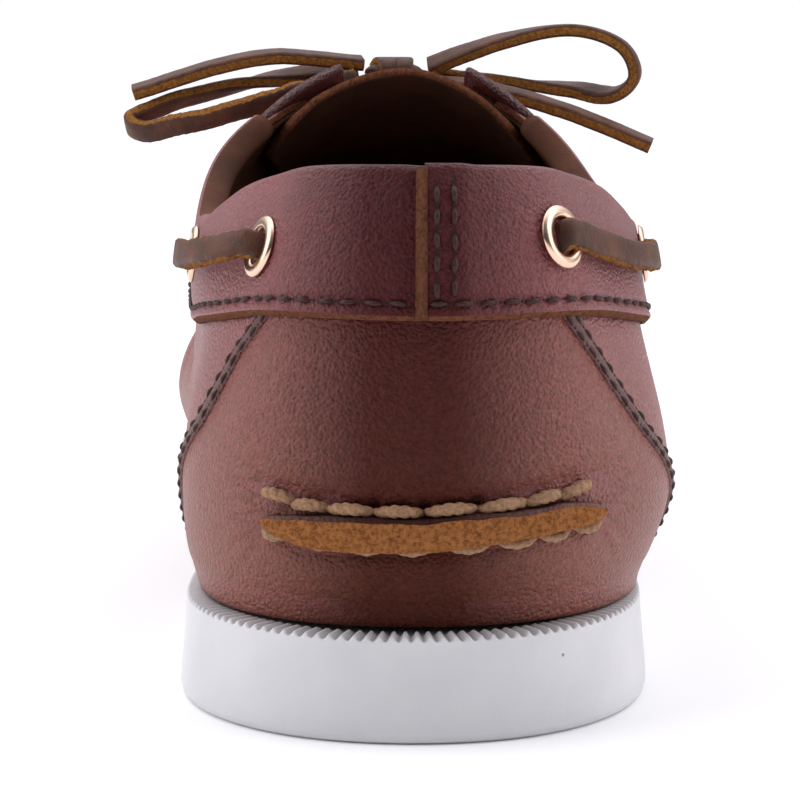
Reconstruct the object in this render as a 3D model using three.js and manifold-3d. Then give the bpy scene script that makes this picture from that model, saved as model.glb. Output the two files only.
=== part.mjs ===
// Boat shoe, right foot, standing empty on its sole. Millimetres, +Z up, toe towards -Y.
// The origin is on the floor under the middle of the heel seat. +X is the inner (medial) side.
import * as THREE from 'three';
import { mergeVertices } from 'three/addons/utils/BufferGeometryUtils.js';
import Module from 'manifold-3d';

const wasm = await Module();
wasm.setup();

// ---- driving sizes ------------------------------------------------------
const SHOE_LENGTH = 290;       // outsole, heel to toe
const HEEL_SEAT = 36;          // origin's distance in front of the outsole's back
const LEATHER = 2.0;           // wall of the upper
const GAP = 0.3;               // between pieces that touch in the real shoe
const BAND_THICK = 1.6;        // collar band, laid over the upper
const INSOLE_THICK = 3.6;
const TONGUE_THICK = 2.0;
const TONGUE_DROP = 0.5;       // under the wall of the upper
const EYESTAY_THICK = 1.2;      // overlay round the throat, under the front eyelets
const SEAM_THICK = 1.9;        // raised seams at heel and toe
const SOLE_FLARE = 0.9;        // outsole is wider at the floor than at its rim
const SOLE_EDGE = 0.9;         // chamfer along both edges of the sole wall
const EYELET_OUT = 4.75;       // flange radius
const EYELET_HOLE = 2.9;       // inner radius
const EYELET_WALL = 0.35;
const LACE_R = 1.75;           // flat leather lace, as a round cord of equal section
const THROAT_HALF = 11;        // half the slot between the two facings
const THROAT_END = 164;        // distance of the slot's front end from the heel
const APRON_V = 2.55;          // level of the raised toe seam on the sections
const STEPS = 28;              // sections along each side

// Sections, one row each, from the back of the heel round to the toe tip. at: place on the
// middle line, turn: direction the section faces (0 back, 90 side, 180 toe), mid: sideways
// place of the middle line, lean: sideways lean of the heel. Then reach at five levels, medial
// and lateral: tuck at the sole, bulge, side, top; and the heights of those levels.
const sections = [
  { at: 36, turn: 0, mid: 0, lean: 2, tuck: [29.5, 29.5], bulge: [33.5, 33.5], side: [31.6, 31.6],
    top: [27.2, 27.2], bulgeZ: 31.5, sideZ: 57, topZ: 82, crownZ: 104 },
  { at: 36, turn: 34, mid: 0, lean: 2, tuck: [30.6, 31.0], bulge: [35.0, 35.0], side: [31.8, 31.8],
    top: [25.2, 25.2], bulgeZ: 31.5, sideZ: 56, topZ: 81, crownZ: 104 },
  { at: 36.5, turn: 64, mid: 0, lean: 2, tuck: [32.2, 33.4], bulge: [36.8, 37.4], side: [31.2, 31.2],
    top: [23.4, 23.0], bulgeZ: 31.5, sideZ: 55, topZ: 78, crownZ: 104 },
  { at: 42, turn: 87, mid: 0, lean: 2, tuck: [33.4, 35.6], bulge: [37.8, 38.6], side: [34.4, 34.4],
    top: [28.0, 27.6], bulgeZ: 31.5, sideZ: 54, topZ: 75, crownZ: 104 },
  { at: 64, turn: 90, mid: -0.2, lean: 1.4, tuck: [33.6, 35.6], bulge: [38.2, 38.8], side: [36.6, 35.6],
    top: [34.8, 33.4], bulgeZ: 30, sideZ: 52, topZ: 71, crownZ: 105 },
  { at: 100, turn: 90, mid: 1.6, lean: 0.4, tuck: [32.8, 37.6], bulge: [37.4, 40.0], side: [37.2, 36.2],
    top: [31.2, 28.2], bulgeZ: 28, sideZ: 56, topZ: 81, crownZ: 100.5 },
  { at: 140, turn: 90, mid: 1.0, lean: 0, tuck: [35.6, 41.6], bulge: [40.4, 45.4], side: [38.0, 41.6],
    top: [26.0, 27.4], bulgeZ: 25.5, sideZ: 51, topZ: 71.5, crownZ: 82 },
  { at: 178, turn: 90, mid: 0.4, lean: 0, tuck: [43.0, 47.4], bulge: [48.0, 50.4], side: [43.0, 45.0],
    top: [26.5, 27.5], bulgeZ: 24, sideZ: 42, topZ: 57, crownZ: 63.5 },
  { at: 206, turn: 91, mid: 1.4, lean: 0, tuck: [47.2, 47.2], bulge: [51.4, 50.8], side: [46.2, 45.2],
    top: [27.0, 27.0], bulgeZ: 24, sideZ: 38.5, topZ: 50.5, crownZ: 55.5 },
  { at: 225, turn: 108, mid: 2.8, lean: 0, tuck: [45.5, 42.5], bulge: [49.2, 46.0], side: [43.0, 40.0],
    top: [26.0, 25.0], bulgeZ: 25, sideZ: 37.2, topZ: 47, crownZ: 51.5 },
  { at: 230, turn: 134, mid: 3.2, lean: 0, tuck: [47.6, 44.0], bulge: [50.6, 47.0], side: [44.6, 41.0],
    top: [27.0, 25.4], bulgeZ: 26.5, sideZ: 37.5, topZ: 46, crownZ: 50.5 },
  { at: 230, turn: 158, mid: 3.2, lean: 0, tuck: [49.8, 47.6], bulge: [52.4, 50.2], side: [46.0, 43.8],
    top: [28.0, 26.8], bulgeZ: 28.5, sideZ: 38, topZ: 45.6, crownZ: 50.5 },
  { at: 230, turn: 180, mid: 3.2, lean: 0, tuck: [50.4, 50.4], bulge: [52.8, 52.8], side: [46.2, 46.2],
    top: [28.0, 28.0], bulgeZ: 29.5, sideZ: 38.2, topZ: 45.4, crownZ: 50.5 },
];
// Reach of the outsole at the floor, one row for each section above.
const soleReach = [[36, 36], [36.5, 36.7], [36.7, 37.0], [36.4, 37.2], [36.0, 37.2], [32.4, 41.6],
  [37.0, 46.2], [47.0, 51.8], [52.0, 52.4], [51, 48.8], [54, 50.6], [57.6, 55.6], [60, 60]];
// Outsole in side view: distance from the heel, floor side, rim side.
const soleProfile = [
  { s: -5, low: 0, rim: 15.6 }, { s: 46, low: 0, rim: 15.6 }, { s: 76, low: 0.7, rim: 14.8 },
  { s: 106, low: 1.8, rim: 13.6 }, { s: 136, low: 1.2, rim: 12.2 }, { s: 164, low: 0, rim: 11.5 },
  { s: 206, low: 0, rim: 11.3 }, { s: 240, low: 1.7, rim: 12.9 }, { s: 268, low: 4.7, rim: 16 },
  { s: 295, low: 8.8, rim: 20 },
];
// Height of the collar's top edge along the shoe.
const topline = [
  { s: -20, z: 82.7 }, { s: 8, z: 82.6 }, { s: 22, z: 81.5 }, { s: 38, z: 78.4 }, { s: 50, z: 74.8 },
  { s: 62, z: 71.6 }, { s: 76, z: 71.6 }, { s: 90, z: 76.4 }, { s: 102, z: 84 }, { s: 110, z: 92 },
  { s: 117, z: 104 },
];
// Height of the collar band's lower edge along the shoe.
const bandFoot = [
  { s: -20, z: 60.8 }, { s: 8, z: 60.7 }, { s: 36, z: 57.2 }, { s: 60, z: 54.6 }, { s: 80, z: 56.4 },
  { s: 100, z: 64 }, { s: 120, z: 73 },
];
const treadRows = [12, 24, 46, 58, 162, 176, 190, 204, 218, 232];   // grooves across the sole

// ---- interpolation ------------------------------------------------------
const hermite = (a, b, ma, mb, h, u) => {
  const u2 = u * u, u3 = u2 * u;
  return a * (2 * u3 - 3 * u2 + 1) + ma * h * (u3 - 2 * u2 + u) + b * (3 * u2 - 2 * u3) + mb * h * (u3 - u2);
};
const slopeAt = (d0, h0, d1, h1, monotone) => {
  if (monotone && d0 * d1 <= 0) return 0;
  const m = (d0 * h1 + d1 * h0) / (h0 + h1);
  return monotone ? Math.sign(m) * Math.min(Math.abs(m), 3 * Math.abs(d0), 3 * Math.abs(d1)) : m;
};
function along(rows, key, s) {
  const n = rows.length;
  let i = 0;
  while (i < n - 2 && s > rows[i + 1].s) i++;
  const h = j => rows[j + 1].s - rows[j].s;
  const d = j => (rows[j + 1][key] - rows[j][key]) / h(j);
  const m = j => (j === 0 ? d(0) : j === n - 1 ? d(n - 2) : slopeAt(d(j - 1), h(j - 1), d(j), h(j), true));
  const u = THREE.MathUtils.clamp((s - rows[i].s) / h(i), 0, 1);
  return hermite(rows[i][key], rows[i + 1][key], m(i), m(i + 1), h(i), u);
}
const lowZ = s => along(soleProfile, 'low', s);
const rimZ = s => along(soleProfile, 'rim', s);
const topZ = s => along(topline, 'z', s);
const footZ = s => along(bandFoot, 'z', s);

const LAST_ROW = sections.length - 1;
const knots = [0];
for (let i = 1; i <= LAST_ROW; i++) {
  const p = sections[i - 1], c = sections[i];
  const turned = THREE.MathUtils.degToRad(c.turn - p.turn) * 0.5 * (p.bulge[0] + c.bulge[0]);
  knots.push(knots[i - 1] + (c.at - p.at) + turned);
}
// A column of the table at row q of one side (0 medial, 1 lateral). Past either end the column
// carries on with the other side, so the shape is smooth over heel and toe.
function column(pick, q, side, monotone = false, odd = false) {
  const i = Math.min(Math.floor(q), LAST_ROW - 1);
  const value = j => {
    const other = j < 0 || j > LAST_ROW;
    const k = j < 0 ? -j : j > LAST_ROW ? 2 * LAST_ROW - j : j;
    const v = pick(k, other ? 1 - side : side);
    return other && odd ? (j < 0 ? -v : 360 - v) : v;
  };
  const knot = j => (j < 0 ? -knots[-j] : j > LAST_ROW ? 2 * knots[LAST_ROW] - knots[2 * LAST_ROW - j] : knots[j]);
  const m = j => {
    const h0 = knot(j) - knot(j - 1), h1 = knot(j + 1) - knot(j);
    return slopeAt((value(j) - value(j - 1)) / h0, h0, (value(j + 1) - value(j)) / h1, h1, monotone);
  };
  return hermite(value(i), value(i + 1), m(i), m(i + 1), knot(i + 1) - knot(i), q - i);
}

// ---- the last: outside of the upper -------------------------------------
function frameAt(q, side) {
  const turn = THREE.MathUtils.degToRad(column(k => sections[k].turn, q, side, true, true));
  const at = column(k => sections[k].at, q, side, true);
  const mid = column(k => sections[k].mid, q, side, true);
  const lean = column(k => sections[k].lean, q, side, true);
  const sx = (side === 0 ? 1 : -1) * Math.sin(turn);
  return { at, mid, lean, sx, sy: Math.cos(turn) };
}
const levelCache = new Map();
function levelsAt(q, side) {
  const key = `${q.toFixed(5)}/${side}`;
  if (!levelCache.has(key)) {
    const f = frameAt(q, side);
    const reach = name => column((k, sd) => sections[k][name][sd], q, side);
    const height = name => column(k => sections[k][name], q, side);
    const tuck = reach('tuck');
    const levels = [[tuck, rimZ(f.at - tuck * f.sy) + GAP], [reach('bulge'), height('bulgeZ')],
      [reach('side'), height('sideZ')], [reach('top'), height('topZ')],
      [0, column(k => sections[k].crownZ, q, side, true)]];
    levelCache.set(key, { f, levels });
  }
  return levelCache.get(key);
}
// Point of the last at row q, side, level v (0 tuck to 4 crown), before any offset.
function lastPoint(q, side, v) {
  const { f, levels } = levelsAt(q, side);
  const i = Math.min(Math.floor(v), 3), u = v - i;
  const span = j => Math.hypot(levels[j + 1][0] - levels[j][0], levels[j + 1][1] - levels[j][1]);
  const slope = (j, c) => {
    if (j === 0) return (levels[1][c] - levels[0][c]) / span(0) * (c === 0 ? 1.35 : 0.85);
    if (j === 4) return c === 0 ? -1 : 0;
    return slopeAt((levels[j][c] - levels[j - 1][c]) / span(j - 1), span(j - 1),
      (levels[j + 1][c] - levels[j][c]) / span(j), span(j), false);
  };
  const h = span(i);
  const r = hermite(levels[i][0], levels[i + 1][0], slope(i, 0), slope(i + 1, 0), h, u);
  const z = hermite(levels[i][1], levels[i + 1][1], slope(i, 1), slope(i + 1, 1), h, u);
  const lean = f.lean * THREE.MathUtils.smoothstep(z, 16, 34);
  return new THREE.Vector3(f.mid + r * f.sx - lean, HEEL_SEAT - f.at + r * f.sy, z);
}
const crownSlope = at => {
  const rows = sections.map(r => ({ s: r.at, z: r.crownZ }));
  const find = s => {
    let i = 0;
    while (i < rows.length - 2 && (s > rows[i + 1].s || rows[i + 1].s === rows[i].s)) i++;
    const t = THREE.MathUtils.clamp((s - rows[i].s) / Math.max(rows[i + 1].s - rows[i].s, 1e-6), 0, 1);
    return rows[i].z + (rows[i + 1].z - rows[i].z) * t;
  };
  return (find(at + 9) - find(at - 9)) / 18;
};
function lastNormal(q, side, v) {
  if (v > 3.985) return new THREE.Vector3(0, crownSlope(levelsAt(q, side).f.at), 1).normalize();
  const e = 0.02, q0 = Math.max(q - e, 0), q1 = Math.min(q + e, LAST_ROW);
  const v0 = Math.max(v - e, 0), v1 = Math.min(v + e, 3.98);
  const dq = lastPoint(q1, side, v).sub(lastPoint(q0, side, v));
  const dv = lastPoint(q, side, v1).sub(lastPoint(q, side, v0));
  if (q0 === 0) dq.set(side === 0 ? 1 : -1, 0, 0);
  if (q1 === LAST_ROW) dq.set(side === 0 ? -1 : 1, 0, 0);
  const n = dq.cross(dv).normalize();
  return side === 0 ? n.negate() : n;
}
function onLast(q, side, v, offset) {
  const n = lastNormal(q, side, v);
  if (v === 0) n.setZ(0).normalize();
  return lastPoint(q, side, v).addScaledVector(n, offset);
}
// Row on the straight part of the table whose section stands at distance s from the heel.
function rowAt(s) {
  let a = 0, b = LAST_ROW;
  for (let k = 0; k < 40; k++) {
    const m = (a + b) / 2;
    if (levelsAt(m, 0).f.at < s) a = m; else b = m;
  }
  return (a + b) / 2;
}
function levelFor(test, low, high) {
  let a = low, b = high;
  for (let k = 0; k < 36; k++) {
    const m = (a + b) / 2;
    if (test(m)) a = m; else b = m;
  }
  return (a + b) / 2;
}
const levelAtZ = (q, side, z) => levelFor(v => lastPoint(q, side, v).z < z, 0, 3.6);
const levelAtReach = (q, side, r) => {
  const { f } = levelsAt(q, side);
  return levelFor(v => Math.abs(lastPoint(q, side, v).x - f.mid) > r, 1.5, 4);
};

// ---- solids -------------------------------------------------------------
// Welds triangles given as corner positions and makes a closed Manifold of them.
function weld(corners) {
  const positions = [], triangles = [], seen = new Map();
  const index = p => {
    const key = `${Math.round(p.x * 1e4)},${Math.round(p.y * 1e4)},${Math.round(p.z * 1e4)}`;
    if (!seen.has(key)) { seen.set(key, positions.length / 3); positions.push(p.x, p.y, p.z); }
    return seen.get(key);
  };
  for (const t of corners) {
    const [a, b, c] = t.map(index);
    if (a !== b && b !== c && c !== a) triangles.push(a, b, c);
  }
  const mesh = new wasm.Mesh({ numProp: 3, vertProperties: new Float32Array(positions),
    triVerts: new Uint32Array(triangles) });
  const made = new wasm.Manifold(mesh);
  return made.volume() < 0 ? weld(corners.map(([a, b, c]) => [a, c, b])) : made;
}
function geometrySolid(geometry) {
  geometry.deleteAttribute('normal');
  geometry.deleteAttribute('uv');
  const g = mergeVertices(geometry, 1e-4).toNonIndexed();
  const p = g.getAttribute('position'), corners = [];
  for (let i = 0; i < p.count; i += 3) {
    corners.push([0, 1, 2].map(k => new THREE.Vector3().fromBufferAttribute(p, i + k)));
  }
  return weld(corners);
}
const quad = (out, a, b, c, d) => out.push([a, b, c], [a, c, d]);
// Closed loop of sections: ring(i) gives the points of section i, from the floor side up to the
// crown. Loop index runs over the medial side, then back over the lateral side.
const loopRows = [];
for (let i = 0; i <= STEPS; i++) loopRows.push([i * LAST_ROW / STEPS, 0]);
for (let i = STEPS - 1; i > 0; i--) loopRows.push([i * LAST_ROW / STEPS, 1]);
function loopSolid(ring) {
  const rings = loopRows.map(([q, side]) => ring(q, side)), out = [];
  for (let i = 0; i < rings.length; i++) {
    const a = rings[i], b = rings[(i + 1) % rings.length];
    for (let j = 0; j + 1 < a.length; j++) quad(out, a[j], b[j], b[j + 1], a[j + 1]);
  }
  return weld(out);
}
const LEVELS = [0, 0.5, 1, 1.5, 2, 2.5, 3, 3.5, 4];
// The last grown or shrunk by an offset and closed below at a drop under the tuck line.
function lastForm(offset, drop) {
  return loopSolid((q, side) => {
    const { f, levels } = levelsAt(q, side);
    const tuck = onLast(q, side, 0, offset);
    const base = new THREE.Vector3(f.mid, HEEL_SEAT - f.at, rimZ(f.at) + GAP - drop);
    const wall = LEVELS.map(v => onLast(q, side, v, offset));
    const skirt = drop > 0 ? [tuck.clone().setZ(tuck.z - drop)] : [];
    return [base, ...skirt, ...wall];
  });
}
// What lies between two offsets of the last, open underneath.
const shell = (outer, inner) => lastForm(outer, 0).subtract(lastForm(inner, 9));
// A prism from an outline, pushed through along one axis. The outline holds [a, b] pairs.
function prism(outline, axis, from, to) {
  const shape = new THREE.Shape(outline.map(([a, b]) => new THREE.Vector2(a, b)));
  const g = new THREE.ExtrudeGeometry(shape, { depth: to - from, bevelEnabled: false, steps: 1 });
  g.translate(0, 0, from);
  if (axis === 'x') {
    g.applyMatrix4(new THREE.Matrix4().makeBasis(new THREE.Vector3(0, 1, 0), new THREE.Vector3(0, 0, 1),
      new THREE.Vector3(1, 0, 0)));
  }
  return geometrySolid(g);
}
const spread = (from, to, n) => Array.from({ length: n + 1 }, (_, i) => from + (to - from) * i / n);

const collarCut = prism([...spread(-20, 117, 26).map(s => [HEEL_SEAT - s, topZ(s)]),
  [HEEL_SEAT - 117, 180], [HEEL_SEAT + 20, 180]], 'x', -95, 95);
const slotMid = 1.4;
const throatCut = prism([[slotMid - THROAT_HALF - 2, HEEL_SEAT - 95],
  ...spread(-90, 90, 10).map(a => {
    const t = THREE.MathUtils.degToRad(a);
    return [slotMid + THROAT_HALF * Math.sin(t), HEEL_SEAT - THROAT_END + THROAT_HALF * (1 - Math.cos(t))];
  }), [slotMid + THROAT_HALF + 2, HEEL_SEAT - 95]].reverse(), 'z', 45, 180);

// ---- eyelets ------------------------------------------------------------
// Two a side on the collar band, two a side on the facing.
const eyeletPlaces = [];
for (const side of [0, 1]) {
  const name = side === 0 ? 'medial' : 'lateral';
  const rear = levelForPlace(side === 0 ? 1.7 : 1.2, side, side === 0 ? 69.5 : 71.5);
  const front = levelForPlace(3.92, side, 65.5);
  eyeletPlaces.push({ name: `eyelet_collar_rear_${name}`, side, ...rear, lift: GAP + BAND_THICK });
  eyeletPlaces.push({ name: `eyelet_collar_front_${name}`, side, ...front, lift: GAP + BAND_THICK });
  for (const [place, s, r] of [['upper', 130, 19.5], ['lower', 150, 18.5]]) {
    const q = rowAt(s);
    eyeletPlaces.push({ name: `eyelet_facing_${place}_${name}`, side, q, v: levelAtReach(q, side, r), lift: GAP + EYESTAY_THICK });
  }
}
function levelForPlace(q, side, z) { return { q, v: levelAtZ(q, side, z) }; }
for (const e of eyeletPlaces) {
  e.normal = lastNormal(e.q, e.side, e.v);
  e.point = lastPoint(e.q, e.side, e.v).addScaledVector(e.normal, e.lift);
  e.spin = new THREE.Quaternion().setFromUnitVectors(new THREE.Vector3(0, 1, 0), e.normal);
}
const placed = (profile, e, parts) => {
  const g = new THREE.LatheGeometry(profile.map(([r, h]) => new THREE.Vector2(r, h)), parts);
  g.applyQuaternion(e.spin);
  g.translate(e.point.x, e.point.y, e.point.z);
  return geometrySolid(g);
};
const eyeletHole = e => placed([[0, -8], [EYELET_HOLE + EYELET_WALL + GAP, -8],
  [EYELET_HOLE + EYELET_WALL + GAP, 8], [0, 8]], e, 10);
const eyeletRing = e => {
  const deep = -(e.lift + LEATHER + 0.2), w = EYELET_HOLE + EYELET_WALL;
  return placed([[EYELET_HOLE, deep], [w, deep], [w, 0.25], [EYELET_OUT - 0.2, 0.25], [EYELET_OUT, 0.6],
    [EYELET_OUT - 0.9, 1.05], [EYELET_HOLE + 0.3, 1.0], [EYELET_HOLE, 0.5], [EYELET_HOLE, deep]], e, 10);
};
const holes = eyeletPlaces.map(eyeletHole);
const bored = made => holes.reduce((m, h) => m.subtract(h), made);

// ---- upper and collar band ----------------------------------------------
let upper = shell(0, -LEATHER).subtract(collarCut).subtract(throatCut);
upper = bored(upper);

// The band is cut between two larger forms, below by its own curved foot.
const bandKeep = prism([...spread(-20, 106, 24).map(s => [HEEL_SEAT - s, footZ(s)]),
  [HEEL_SEAT - 106, 130], [HEEL_SEAT + 20, 130]], 'x', -95, 95);
let band = shell(GAP + BAND_THICK, GAP).intersect(bandKeep).subtract(collarCut);
band = bored(band);

// ---- outsole ------------------------------------------------------------
function soleRing(q, side, out, part) {
  const { f } = levelsAt(q, side);
  const r = column((k, sd) => soleReach[k][sd], q, side) - out;
  const x = f.mid + r * part * f.sx, y = HEEL_SEAT - f.at + r * part * f.sy;
  return new THREE.Vector3(x, y, 0);
}
let outsole = loopSolid((q, side) => {
  const put = (out, part, z) => {
    const p = soleRing(q, side, out, part);
    return p.setZ(z(HEEL_SEAT - p.y));
  };
  return [
    put(0, 0, lowZ), put(0, 0.6, lowZ), put(SOLE_EDGE, 1, lowZ),
    put(0, 1, s => lowZ(s) + SOLE_EDGE), put(SOLE_FLARE, 1, s => rimZ(s) - SOLE_EDGE),
    put(SOLE_FLARE + SOLE_EDGE, 1, rimZ), put(0, 0.6, rimZ), put(0, 0, rimZ),
  ];
});
for (const s of treadRows) {
  const q = rowAt(Math.min(Math.max(s, 38), 229)), inset = 8;
  const reach = side => {
    const { f } = levelsAt(q, side);
    const w = column((k, sd) => soleReach[k][sd], q, side);
    const past = s < 38 ? (38 - s) / 37 : s > 229 ? (s - 229) / 60 : 0;
    return [f.mid, (w - inset) * Math.sqrt(1 - past * past)];
  };
  const [mid, medial] = reach(0), [, lateral] = reach(1), y = HEEL_SEAT - s;
  const bends = [[mid - lateral, 0], [mid - lateral / 2, 4], [mid, 0], [mid + medial / 2, 4], [mid + medial, 0]];
  const outline = [...bends.map(([x, d]) => [x, y + d - 1]), ...bends.reverse().map(([x, d]) => [x, y + d + 1])];
  outsole = outsole.subtract(prism(outline, 'z', -2, lowZ(s) + 1.7));
}

// ---- insole -------------------------------------------------------------
const insole = loopSolid((q, side) => {
  const { f, levels } = levelsAt(q, side);
  const put = (part, up) => {
    const r = (levels[0][0] - LEATHER - 0.6) * part;
    const y = HEEL_SEAT - f.at + r * f.sy;
    return new THREE.Vector3(f.mid + r * f.sx, y, rimZ(HEEL_SEAT - y) + GAP + up);
  };
  return [put(0, 0), put(0.6, 0), put(1, 0), put(1, INSOLE_THICK), put(0.6, INSOLE_THICK),
    put(0, INSOLE_THICK)];
});

// ---- grids between two offsets ------------------------------------------
// A sheet made of rows of points on the last, thick from one offset to another.
function sheetSolid(rows, low, high) {
  const make = off => rows.map(row => row.map(([q, side, v]) => onLast(q, side, v, off)));
  const a = make(low), b = make(high), out = [], n = rows.length, m = rows[0].length;
  for (let i = 0; i + 1 < n; i++) {
    for (let j = 0; j + 1 < m; j++) {
      quad(out, a[i][j], a[i + 1][j], a[i + 1][j + 1], a[i][j + 1]);
      quad(out, b[i][j], b[i][j + 1], b[i + 1][j + 1], b[i + 1][j]);
    }
    quad(out, a[i][0], b[i][0], b[i + 1][0], a[i + 1][0]);
    quad(out, a[i][m - 1], a[i + 1][m - 1], b[i + 1][m - 1], b[i][m - 1]);
  }
  for (let j = 0; j + 1 < m; j++) {
    quad(out, a[0][j], a[0][j + 1], b[0][j + 1], b[0][j]);
    quad(out, a[n - 1][j], b[n - 1][j], b[n - 1][j + 1], a[n - 1][j + 1]);
  }
  return weld(out);
}
const tongueRows = spread(104, 176, 12).map(s => {
  const q = rowAt(s), half = s > 150 ? 23 : 23 + (150 - s) * 0.12;
  const taper = s < 112 ? 1 - (112 - s) * 0.045 : 1;
  const across = spread(-1, 1, 12).map(t => {
    const side = t > 0 ? 0 : 1, r = Math.abs(t) * half * taper;
    return r < 0.01 ? [q, 0, 4] : [q, side, levelAtReach(q, side, r)];
  });
  return across;
});
const tongue = shell(-(LEATHER + TONGUE_DROP), -(LEATHER + TONGUE_DROP + TONGUE_THICK))
  .intersect(sheetSolid(tongueRows, -9, 2));

// Eyestay, a U-shaped overlay round the slot of the throat, in front of the collar.
const stayRows = spread(108, 170, 12).map(s => {
  const q = rowAt(s), reach = 30 - 3 * THREE.MathUtils.smoothstep(s, 110, 165);
  return spread(-1, 1, 10).map(t => {
    const side = t > 0 ? 0 : 1, r = Math.abs(t) * reach;
    return r < 0.01 ? [q, 0, 4] : [q, side, levelAtReach(q, side, r)];
  });
});
let eyestay = shell(GAP + EYESTAY_THICK, GAP).intersect(sheetSolid(stayRows, -1, 5))
  .subtract(collarCut).subtract(throatCut);
eyestay = bored(eyestay);

// Raised seam joining the wall of the toe to the plug on top, one ridge round the toe.
const SEAM_HALF = 1.9;
const ridgeRow = (q, side, v) => {
  const step = lastPoint(q, side, v + 0.05).distanceTo(lastPoint(q, side, v - 0.05)) / 0.1;
  return spread(-1, 1, 3).map(t => [q, side, v + t * SEAM_HALF / step]);
};
const apronFrom = rowAt(122);
const apronRows = [...spread(apronFrom, LAST_ROW, 18).map(q => ridgeRow(q, 0, APRON_V)),
  ...spread(LAST_ROW, apronFrom, 18).slice(1).map(q => ridgeRow(q, 1, APRON_V))];
const apronSeam = shell(GAP + SEAM_THICK, GAP).intersect(sheetSolid(apronRows, -1, 5));

// Turned-out edge of the heel seam, a low ridge across the back.
const heelSeamRows = [...spread(1.36, 0, 10).map(q => [q, 0]), ...spread(0, 1.38, 10).slice(1).map(q => [q, 1])]
  .map(([q, side]) => {
    const end = Math.max(0, q / 1.38 - 0.72) / 0.28;
    const z0 = 28.6 + 2.2 * end * end, z1 = 33.8 + 1.4 * end * end;
    return spread(z0, z1, 3).map(z => [q, side, levelAtZ(q, side, z)]);
  });
const heelSeam = shell(GAP + SEAM_THICK, GAP).intersect(sheetSolid(heelSeamRows, -1, 5));

// ---- laces --------------------------------------------------------------
class Path extends THREE.Curve {
  constructor(points) { super(); this.inner = new THREE.CatmullRomCurve3(points, false, 'centripetal'); }
  getPoint(t, target = new THREE.Vector3()) { return this.inner.getPoint(t, target); }
}
function cord(points, steps, radius = LACE_R) {
  const ring = new THREE.Shape(spread(0, 7, 7).map(k => new THREE.Vector2(
    radius * Math.cos(k * Math.PI / 4), radius * Math.sin(k * Math.PI / 4))));
  return geometrySolid(new THREE.ExtrudeGeometry(ring, { steps, bevelEnabled: false,
    extrudePath: new Path(points) }));
}
const eyelet = name => eyeletPlaces.find(e => e.name === name);
const above = (e, h) => e.point.clone().addScaledVector(e.normal, h);
// Runs outside the band from the rear to the front collar eyelet of one side.
function sideRun(name) {
  const a = eyelet(`eyelet_collar_rear_${name}`), b = eyelet(`eyelet_collar_front_${name}`);
  const bow = above(a, 6.4).lerp(above(b, 6.4), 0.5).addScaledVector(a.normal.clone().add(b.normal), 1.2);
  bow.z -= 1.5;
  return cord([above(a, -0.8), above(a, 2.6), above(a, 5.2).lerp(bow, 0.3), bow, above(b, 5.2).lerp(bow, 0.3),
    above(b, 2.6), above(b, -0.8)], 12);
}
// Bar from eye to eye over the slot of the throat.
function throatBar(place, lift) {
  const a = eyelet(`eyelet_facing_${place}_medial`), b = eyelet(`eyelet_facing_${place}_lateral`);
  const top = above(a, lift).lerp(above(b, lift), 0.5);   // clear of the ridge of the tongue
  top.z = lastPoint(a.q, 0, 4).z + 2.2;
  return cord([above(a, -0.6), above(a, 3.0), above(a, lift).lerp(top, 0.35), top, above(b, lift).lerp(top, 0.35),
    above(b, 3.0), above(b, -0.6)], 12);
}
const at = (x, s, z) => new THREE.Vector3(x, HEEL_SEAT - s, z);
// The bow: an ellipsoid knot, two loops and two free ends, each from a few bends in order.
const knotGeometry = new THREE.SphereGeometry(1, 14, 9);
knotGeometry.scale(5.4, 4.6, 3.0);
knotGeometry.translate(3.4, HEEL_SEAT - 129, 95.1);
const bow = {
  lace_loop_medial: [at(10.4, 130.4, 94.8), at(21, 128, 94.6), at(35, 125, 92.3), at(47, 122, 88.9),
    at(52.6, 119.4, 85.9), at(49, 116.6, 84.4), at(38.5, 116, 86.5), at(24.5, 118, 90.5), at(10.8, 124.4, 93.9)],
  lace_loop_lateral: [at(-3.4, 128.4, 96.2), at(-17.3, 125, 101.0), at(-30, 121.6, 103.0), at(-39, 119.8, 100.2),
    at(-41.8, 119.8, 94.6), at(-38, 121.6, 91.0), at(-30, 124.6, 92.0), at(-18, 128.4, 93.0), at(-3.4, 131.6, 94.0)],
  lace_end_medial: [at(9.4, 127.4, 96.9), at(18, 125, 97.7), at(26, 123, 98.1), at(36, 121.6, 96.4), at(52.3, 121, 91.4)],
  lace_end_lateral: [at(-4.0, 124.8, 93.2), at(-13, 119.6, 92.3), at(-22.9, 116.6, 89.9), at(-33.7, 115, 86.2),
    at(-44.4, 114, 81.7)],
};

// ---- assembly -----------------------------------------------------------
const group = new THREE.Group();
function add(name, made, color, roughness, metalness = 0) {
  const m = made.getMesh(), g = new THREE.BufferGeometry();
  const p = new Float32Array(m.numVert * 3);
  for (let i = 0; i < m.numVert; i++) {
    for (let c = 0; c < 3; c++) p[3 * i + c] = m.vertProperties[m.numProp * i + c];
  }
  g.setAttribute('position', new THREE.BufferAttribute(p, 3));
  g.setIndex(new THREE.BufferAttribute(new Uint32Array(m.triVerts), 1));
  const mesh = new THREE.Mesh(g, new THREE.MeshStandardMaterial({ color, roughness, metalness }));
  mesh.name = name;
  group.add(mesh);
}
add('outsole', outsole, 0xd9d8d6, 0.6);
add('insole', insole, 0x6b4330, 0.7);
add('upper', upper, 0x5f3230, 0.5);
add('collar_band', band, 0x5a2f2e, 0.5);
add('tongue', tongue, 0x552c28, 0.6);
add('eyestay', eyestay, 0x552b29, 0.5);
add('apron_seam', apronSeam, 0x6a3a33, 0.5);
add('heel_seam', heelSeam, 0x94603c, 0.8);
for (const e of eyeletPlaces) add(e.name, eyeletRing(e), 0xcdb59a, 0.3, 1);
add('lace_side_medial', sideRun('medial'), 0x5b3a2c, 0.6);
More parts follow.
